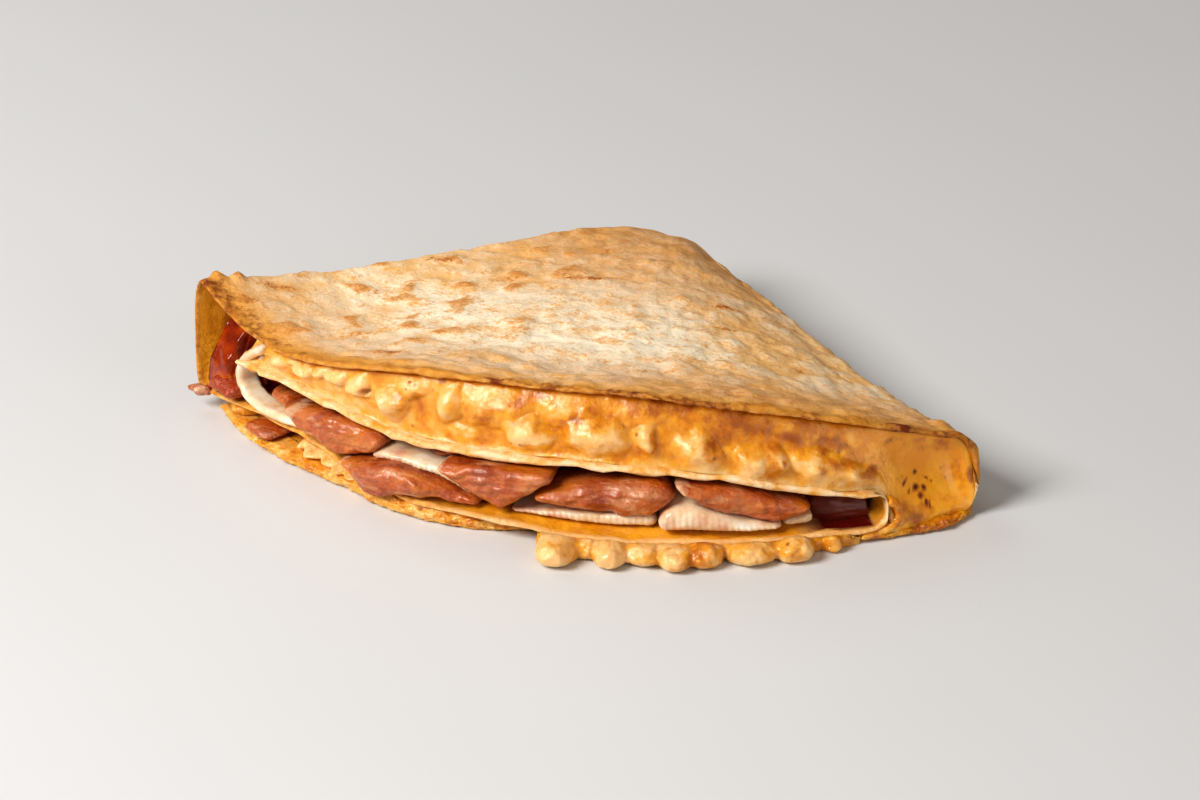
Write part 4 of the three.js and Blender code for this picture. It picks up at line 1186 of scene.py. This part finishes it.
# Each slice's ends as angles, how far in it runs and where its front edge is as radii, how much of it hangs
# out as a flap, and curves of its top, its underside and its hanging edge.
BACON = {
    "bacon_1": dict(
        left=-37.6, right=-18, back=48, flap=4.2, rind=0.3, foot_fat=0.15, pale=near(-30.4, 1.1),
        front=through((-37.6, 117), (-33.5, 118.6), (-30.4, 122.2), (-18, 122.4)),
        high=through((-37.6, 12.2), (-34, 13.4), (-30, 14.4), (-25, 15.9), (-18, 15.2)),
        low=through((-37.6, 9.8), (-30, 11.6), (-19.4, 11.8), (-18, 13)),
        hang=through(
            (-37.6, 9), (-31.2, 10.6), (-28.5, 9), (-26, 7.7), (-22.8, 7.7), (-20.2, 9.6), (-18, 12.6)
        ),
    ),
    "bacon_2": dict(
        left=-23.2, right=-6.2, back=50, flap=4.6, rind=0.5, drapes=True, foot_fat=0.15, pale=near(-23, 0.8),
        front=through(
            (-23.2, 123.6), (-20.5, 125.6), (-17.5, 127.2), (-14, 127), (-11, 125.4), (-6.2, 124.2)
        ),
        high=through(
            (-23.2, 7.6), (-20.5, 8.8), (-18, 10.4), (-15, 11.2), (-12, 10.2), (-10, 9.2), (-6.4, 7.4)
        ),
        low=on_lower,
        hang=through((-23.2, 6.8), (-21, 5.2), (-19, 3.6), (-17, 3), (-15, 4.6), (-12.5, 5.6), (-6, 5.8)),
    ),
    "bacon_3": dict(left=-16.5, right=-10.6, back=52, front=flat(117), high=flat(14.7), low=flat(12.4)),
    "bacon_4": dict(
        left=-10.5, right=1.5, back=46, flap=2, rind=1, foot_fat=0.35,
        front=flat(125),
        high=through((-10.5, 14.9), (1.4, 16.2)),
        low=through((-10.5, 12.5), (1.4, 13.4)),
        hang=corner_flap,
    ),
    "bacon_5": dict(
        left=-0.6, right=14, back=44, flap=4.6, foot_fat=0.2, pale=near(9.8, 1.2, 0.5),
        front=flat(124),
        high=through((-0.6, 11), (3.5, 13.4), (7.8, 14.8), (10.8, 15.3), (12.6, 15), (14, 13.4)),
        low=through((-0.6, 9), (3, 8), (6, 7.6), (9.8, 7.1), (11.8, 7.9), (14, 11.8)),
    ),
    "bacon_6": dict(
        left=13.8, right=27.6, back=50, flap=4.4, foot_fat=0.2, pale=near(14.2, 1.2),
        front=flat(124.2),
        high=through((13.8, 15.6), (16, 15.2), (20.4, 13.7), (25, 11.3), (27.6, 9.4)),
        low=through(
            (13.8, 14.2), (15.6, 11.4), (17.3, 9), (20.4, 7.4), (22.8, 6), (25, 6.1), (27.6, 8)
        ),
    ),
    "bacon_corner": dict(
        left=-45.8, right=-40.8, back=113.2, flap=4, sauced=0.9,
        front=flat(123.2), high=flat(9.6), low=flat(6),
    ),
}
crossing = through((-19.2, 10.8), (-17, 11.7), (-14, 11.5), (-11, 11), (-8, 8.9), (-5.5, 7), (-3.4, 6.2))
ONIONS = {
    "onion_2": dict(
        left=-19.2, right=-3.4, back=78, flap=2, front=flat(122.2),
        high=lambda angle: crossing(angle) + 0.95,
        low=lambda angle: crossing(angle) - 0.95,
    ),
    "onion_3": dict(
        left=-3, right=12.1, back=80, flap=1.8, front=flat(122.6), low=on_lower,
        high=through((-3, 6.2), (2, 6.9), (7, 7.1), (11.4, 7.6)),
    ),
    "onion_4": dict(
        left=12.2, right=24.6, back=76, flap=3.4, front=flat(125.2), low=on_lower,
        high=through((12.2, 8.4), (13.6, 10.2), (15.6, 10.2), (17.2, 9), (20.4, 7), (24.4, 5.8)),
    ),
    "onion_5": dict(
        left=24.8, right=27.9, back=92, flap=1.6, front=flat(123.2), low=on_lower,
        high=through((24.8, 6), (27.9, 7.2)),
    ),
}
# Hooked strips' paths in front, from high to low: angle, height.
OUTER_HOOK = (
    (-36.2, 23.8), (-39.4, 19.2), (-40.9, 16.2), (-41.8, 12), (-40.7, 8.6), (-37.4, 7.4),
    (-33.6, 8.1), (-30, 9.4),
)
INNER_HOOK = ((-35.2, 22.6), (-37.6, 19.6), (-39.2, 17), (-39.9, 14.2))
SEAM = ((35.2, 8.9), (36, 7.9), (36.4, 6.2), (36.3, 4.4), (35.6, 2.7), (34.2, 1.7), (32.4, 1.3))
HOOK_ROUND = 1.3


def hooked_strip(name, knots, inner, outer, half, looks=None):
    """A strip that follows a path in front and runs inward from it."""
    angles, heights = np.array(knots).T
    at = np.linspace(0, 1, len(knots))
    way = np.linspace(0, 1, 110)
    across = through(*zip(at, arc(angles, FRONT)))(way)
    rise = through(*zip(at, heights))(way)
    tangent = np.stack([np.gradient(across), np.gradient(rise)])
    tangent /= np.linalg.norm(tangent, axis=0)
    half = half * (1 + 0.16 * meat_noise.layered(points(22 * way, 0, outer), 2))
    half = half * np.maximum(0.15, rounded(np.minimum(way, 1 - way) * 18))

    def side(sign, radius):
        x = across - sign * half * tangent[1]
        return place(np.degrees(x / FRONT), radius, rise + sign * half * tangent[0])

    def side_by_side(signs, radii):
        return np.stack([side(sign, radius) for sign, radius in zip(signs, radii)], 1)

    turn = half_turn(16)[0, 1:-1]
    radii = np.linspace(inner, outer - HOOK_ROUND, 8)
    under, over = (side_by_side(sign + 0 * radii, radii) for sign in (-1, 1))
    front = side_by_side(np.sin(turn), outer - HOOK_ROUND + HOOK_ROUND * np.cos(turn))
    return loft(name, out_and_back(under, front, over), looks)


def bacon_end():
    """The small end that shows between the two lowest layers at the left."""
    left, right, back, front, level = -38.6, -34.2, 112, 121.5, 3.3
    angle = column(left, right, 30)
    radius = row(back, front, 10)
    turn = half_turn(14)[:, 1:-1]
    share = (angle - left) / (right - left)
    taper = np.maximum(0.2, (1 - np.abs(2 * share - 1) ** 4) ** 0.5)
    low, high = level - taper, level + 1.2 * taper
    rough = 0.35 * meat_noise.layered(place(angle, 120.0, 3 * turn) / 2.5)
    face = place(angle, 121.2 + (2.0 + rough) * np.cos(turn) * taper, lerp(low, high, (1 + np.sin(turn)) / 2))
    loops = out_and_back(place(angle, radius, low), face, place(angle, radius, high))
    return loft("bacon_tail", loops, {"fat": 0.15, "sauced": 0.35})


def nub(name, middle, half, looks):
    """A small lumpy crumb; half is half its size across, deep and tall."""
    turn = np.linspace(0, 2 * np.pi, 40, endpoint=False)
    way = column(0, np.pi, 26)
    round_it = np.sin(np.maximum(0.06, np.minimum(way, np.pi - 0.06)))
    at = points(np.cos(way), round_it * np.cos(turn), round_it * np.sin(turn)) * half
    return loft(name, at * (1 + 0.3 * meat_noise.layered(at / 1.6 + 40))[..., None] + middle, looks)


def browned_strip(name, start, end, outer, deep, tall, crumb, seed, looks):
    """Crumbly browned cheese that ran out along the lowest rim."""
    angle = column(start, end, int((end - start) * 14))
    share = (angle - start) / (end - start)
    taper = np.maximum(0.12, (1 - np.abs(2 * share - 1) ** 6) ** 0.5)
    inner = outer(angle) - deep
    turn = half_turn(26)
    at = points(arc(angle, RIM), 5 * turn + seed, 8)
    crumbs = crumb * (cheese_noise.layered(at / 3.1) + 0.8 * np.abs(cheese_noise.layered(at / 1.3, 2)))
    high = tall(angle) * taper * (1 + 0.3 * cheese_noise.layered(at[:, :1] / 4 + 30, 2))
    radius = inner + deep * taper * np.cos(turn) ** 0.6 + crumbs * np.cos(turn)
    height = high * (1 + squared(np.sin(turn), 0.8)) / 2
    height = np.maximum(0.02, height + 0.5 * crumbs * rising(height, 0, 1) * np.cos(turn))
    back = inner + row(-3, 0, 8)
    under, face, over = place(angle, back, 0.02), place(angle, radius, height), place(angle, back, high)
    return loft(name, out_and_back(under, face, over), looks)


# ---- Build every piece ----
right_foot = through((31, 126.6), (37.8, 126.9), (41.1, 127.6), (43, 126.6), (46.2, 124))
crust_height = through((-44, 1.9), (-32, 2.0), (-22, 2.8), (-12, 3.6), (-5, 3.2), (-1, 2.2))


def crust_front(angle):
    return RIM_OF["bottom"](angle) + 0.9


def build():
    finish(tortilla(), "tortilla", "tortilla")
    finish(upper_cheese(), "cheese", "cheese_upper")
    finish(lower_cheese(), "cheese", "cheese_lower")
    finish(sauce(), "sauce", "sauce")
    for node, shape in BACON.items():
        rasher = slice_piece(node.replace("bacon", "rasher"), wobble=0.45, layers=1.0, **shape)
        finish(rasher, "bacon", node)
    finish(bacon_end(), "bacon", "bacon_end")
    for node, shape in ONIONS.items():
        finish(slice_piece("sliced_" + node, ribs=0.12, **shape), "onion", node)
    hook = hooked_strip("onion_hook", OUTER_HOOK, inner=115.4, outer=120.4, half=1.15)
    finish(hook, "onion", "onion_1")
    hook = hooked_strip("onion_hook_inner", INNER_HOOK, inner=114.6, outer=118.6, half=0.85)
    finish(hook, "onion", "onion_1")
    foot = browned_strip(
        "browned_foot", 31, 46.2, right_foot, deep=5, tall=flat(2.1), crumb=0.7, seed=0,
        looks=cheese_looks(cream=0.0, amber=0.9, brown=0.42),
    )
    finish(foot, "cheese", "cheese_lower")
    crust = browned_strip(
        "golden_crust", -44.5, -0.5, crust_front, deep=3, tall=crust_height, crumb=0.75, seed=9,
        looks=cheese_looks(cream=0.5, amber=0.42, brown=0.14),
    )
    finish(crust, "cheese", "cheese_lower")
    squeezed = nub("bacon_crumb", place(-46.7, 124.3, 5.0), (2.8, 1.4, 1.25), {"fat": 0.45, "sauced": 0.0})
    finish(squeezed, "bacon", "bacon_corner")
    pinched = nub("folded_tip", place(0, 2.7, NOSE["height"] + 0.2), (2.1, 1.9, 2.4), {"tanned_and_shaded": 1.0})
    finish(pinched, "tortilla", "tortilla")
    looks = cheese_looks(cream=0.45, amber=0.5, brown=0.25, web=0.3)
    seam = hooked_strip("cheese_seam", SEAM, inner=119, outer=126.9, half=0.95, looks=looks)
    finish(seam, "cheese", "cheese_upper")


# ---- Floor, light and camera ----
# Softboxes: turn from the camera and elevation in degrees, distance and size in m, watts, colour.
SOFTBOXES = {
    "key": (-58, 40, 1.2, 0.5, 14.2, (1, 0.95, 0.89)),
    "fill": (44, 18, 1.4, 0.9, 4.2, (1, 0.92, 0.82)),
    "back": (-140, 42, 1.5, 0.8, 3.2, (1, 0.95, 0.88)),
}
CAMERA = {"elevation": 27.36, "distance": 1.078, "lens": 141.8, "target": (-2.3 * MM, 11.7 * MM, 0)}


def studio_floor():
    bpy.ops.mesh.primitive_plane_add(size=6.0, location=(0, 0, 0))
    plane = bpy.context.object
    plane.name = "studio_floor"
    g = Graph("pale_floor")
    g.paint(g.ramp(g.noise(400), (0.3, (0.66, 0.69, 0.73)), (0.7, (0.69, 0.72, 0.76))))
    plane.data.materials.append(g.surface(Roughness=0.6))


def spot(azimuth, elevation, distance):
    """A place seen from the middle; azimuth 0 is the front and 90 the right."""
    a, e = math.radians(azimuth), math.radians(elevation)
    return (
        distance * math.sin(a) * math.cos(e),
        -distance * math.cos(a) * math.cos(e),
        distance * math.sin(e),
    )


def aim(name, data, azimuth, elevation, distance, target=(0, 0, 0)):
    """Puts a lamp or a camera at a distance from the target, looking at it."""
    thing = bpy.data.objects.new(name, data)
    thing.location = [t + o for t, o in zip(target, spot(azimuth, elevation, distance))]
    thing.rotation_euler = (math.radians(90 - elevation), 0, math.radians(azimuth))
    bpy.context.scene.collection.objects.link(thing)
    return thing


def studio():
    for name, (turn, elevation, distance, size, watts, colour) in SOFTBOXES.items():
        light = bpy.data.lights.new(name, "AREA")
        light.shape = "SQUARE"
        light.size = size
        light.energy = watts
        light.color = colour
        aim(name, light, VIEW_TURN + turn, elevation, distance)
    scene = bpy.context.scene
    scene.world = bpy.data.worlds.new("studio")
    scene.world.use_nodes = True
    sky = scene.world.node_tree.nodes["Background"].inputs
    sky["Color"].default_value = (1, 0.89, 0.78, 1)
    sky["Strength"].default_value = 0.17
    scene.view_settings.view_transform = "Standard"
    scene.view_settings.look = "Medium High Contrast"


def camera():
    data = bpy.data.cameras.new("camera")
    data.lens = CAMERA["lens"]
    where = VIEW_TURN, CAMERA["elevation"], CAMERA["distance"]
    bpy.context.scene.camera = aim("camera", data, *where, CAMERA["target"])


build()
studio_floor()
studio()
camera()
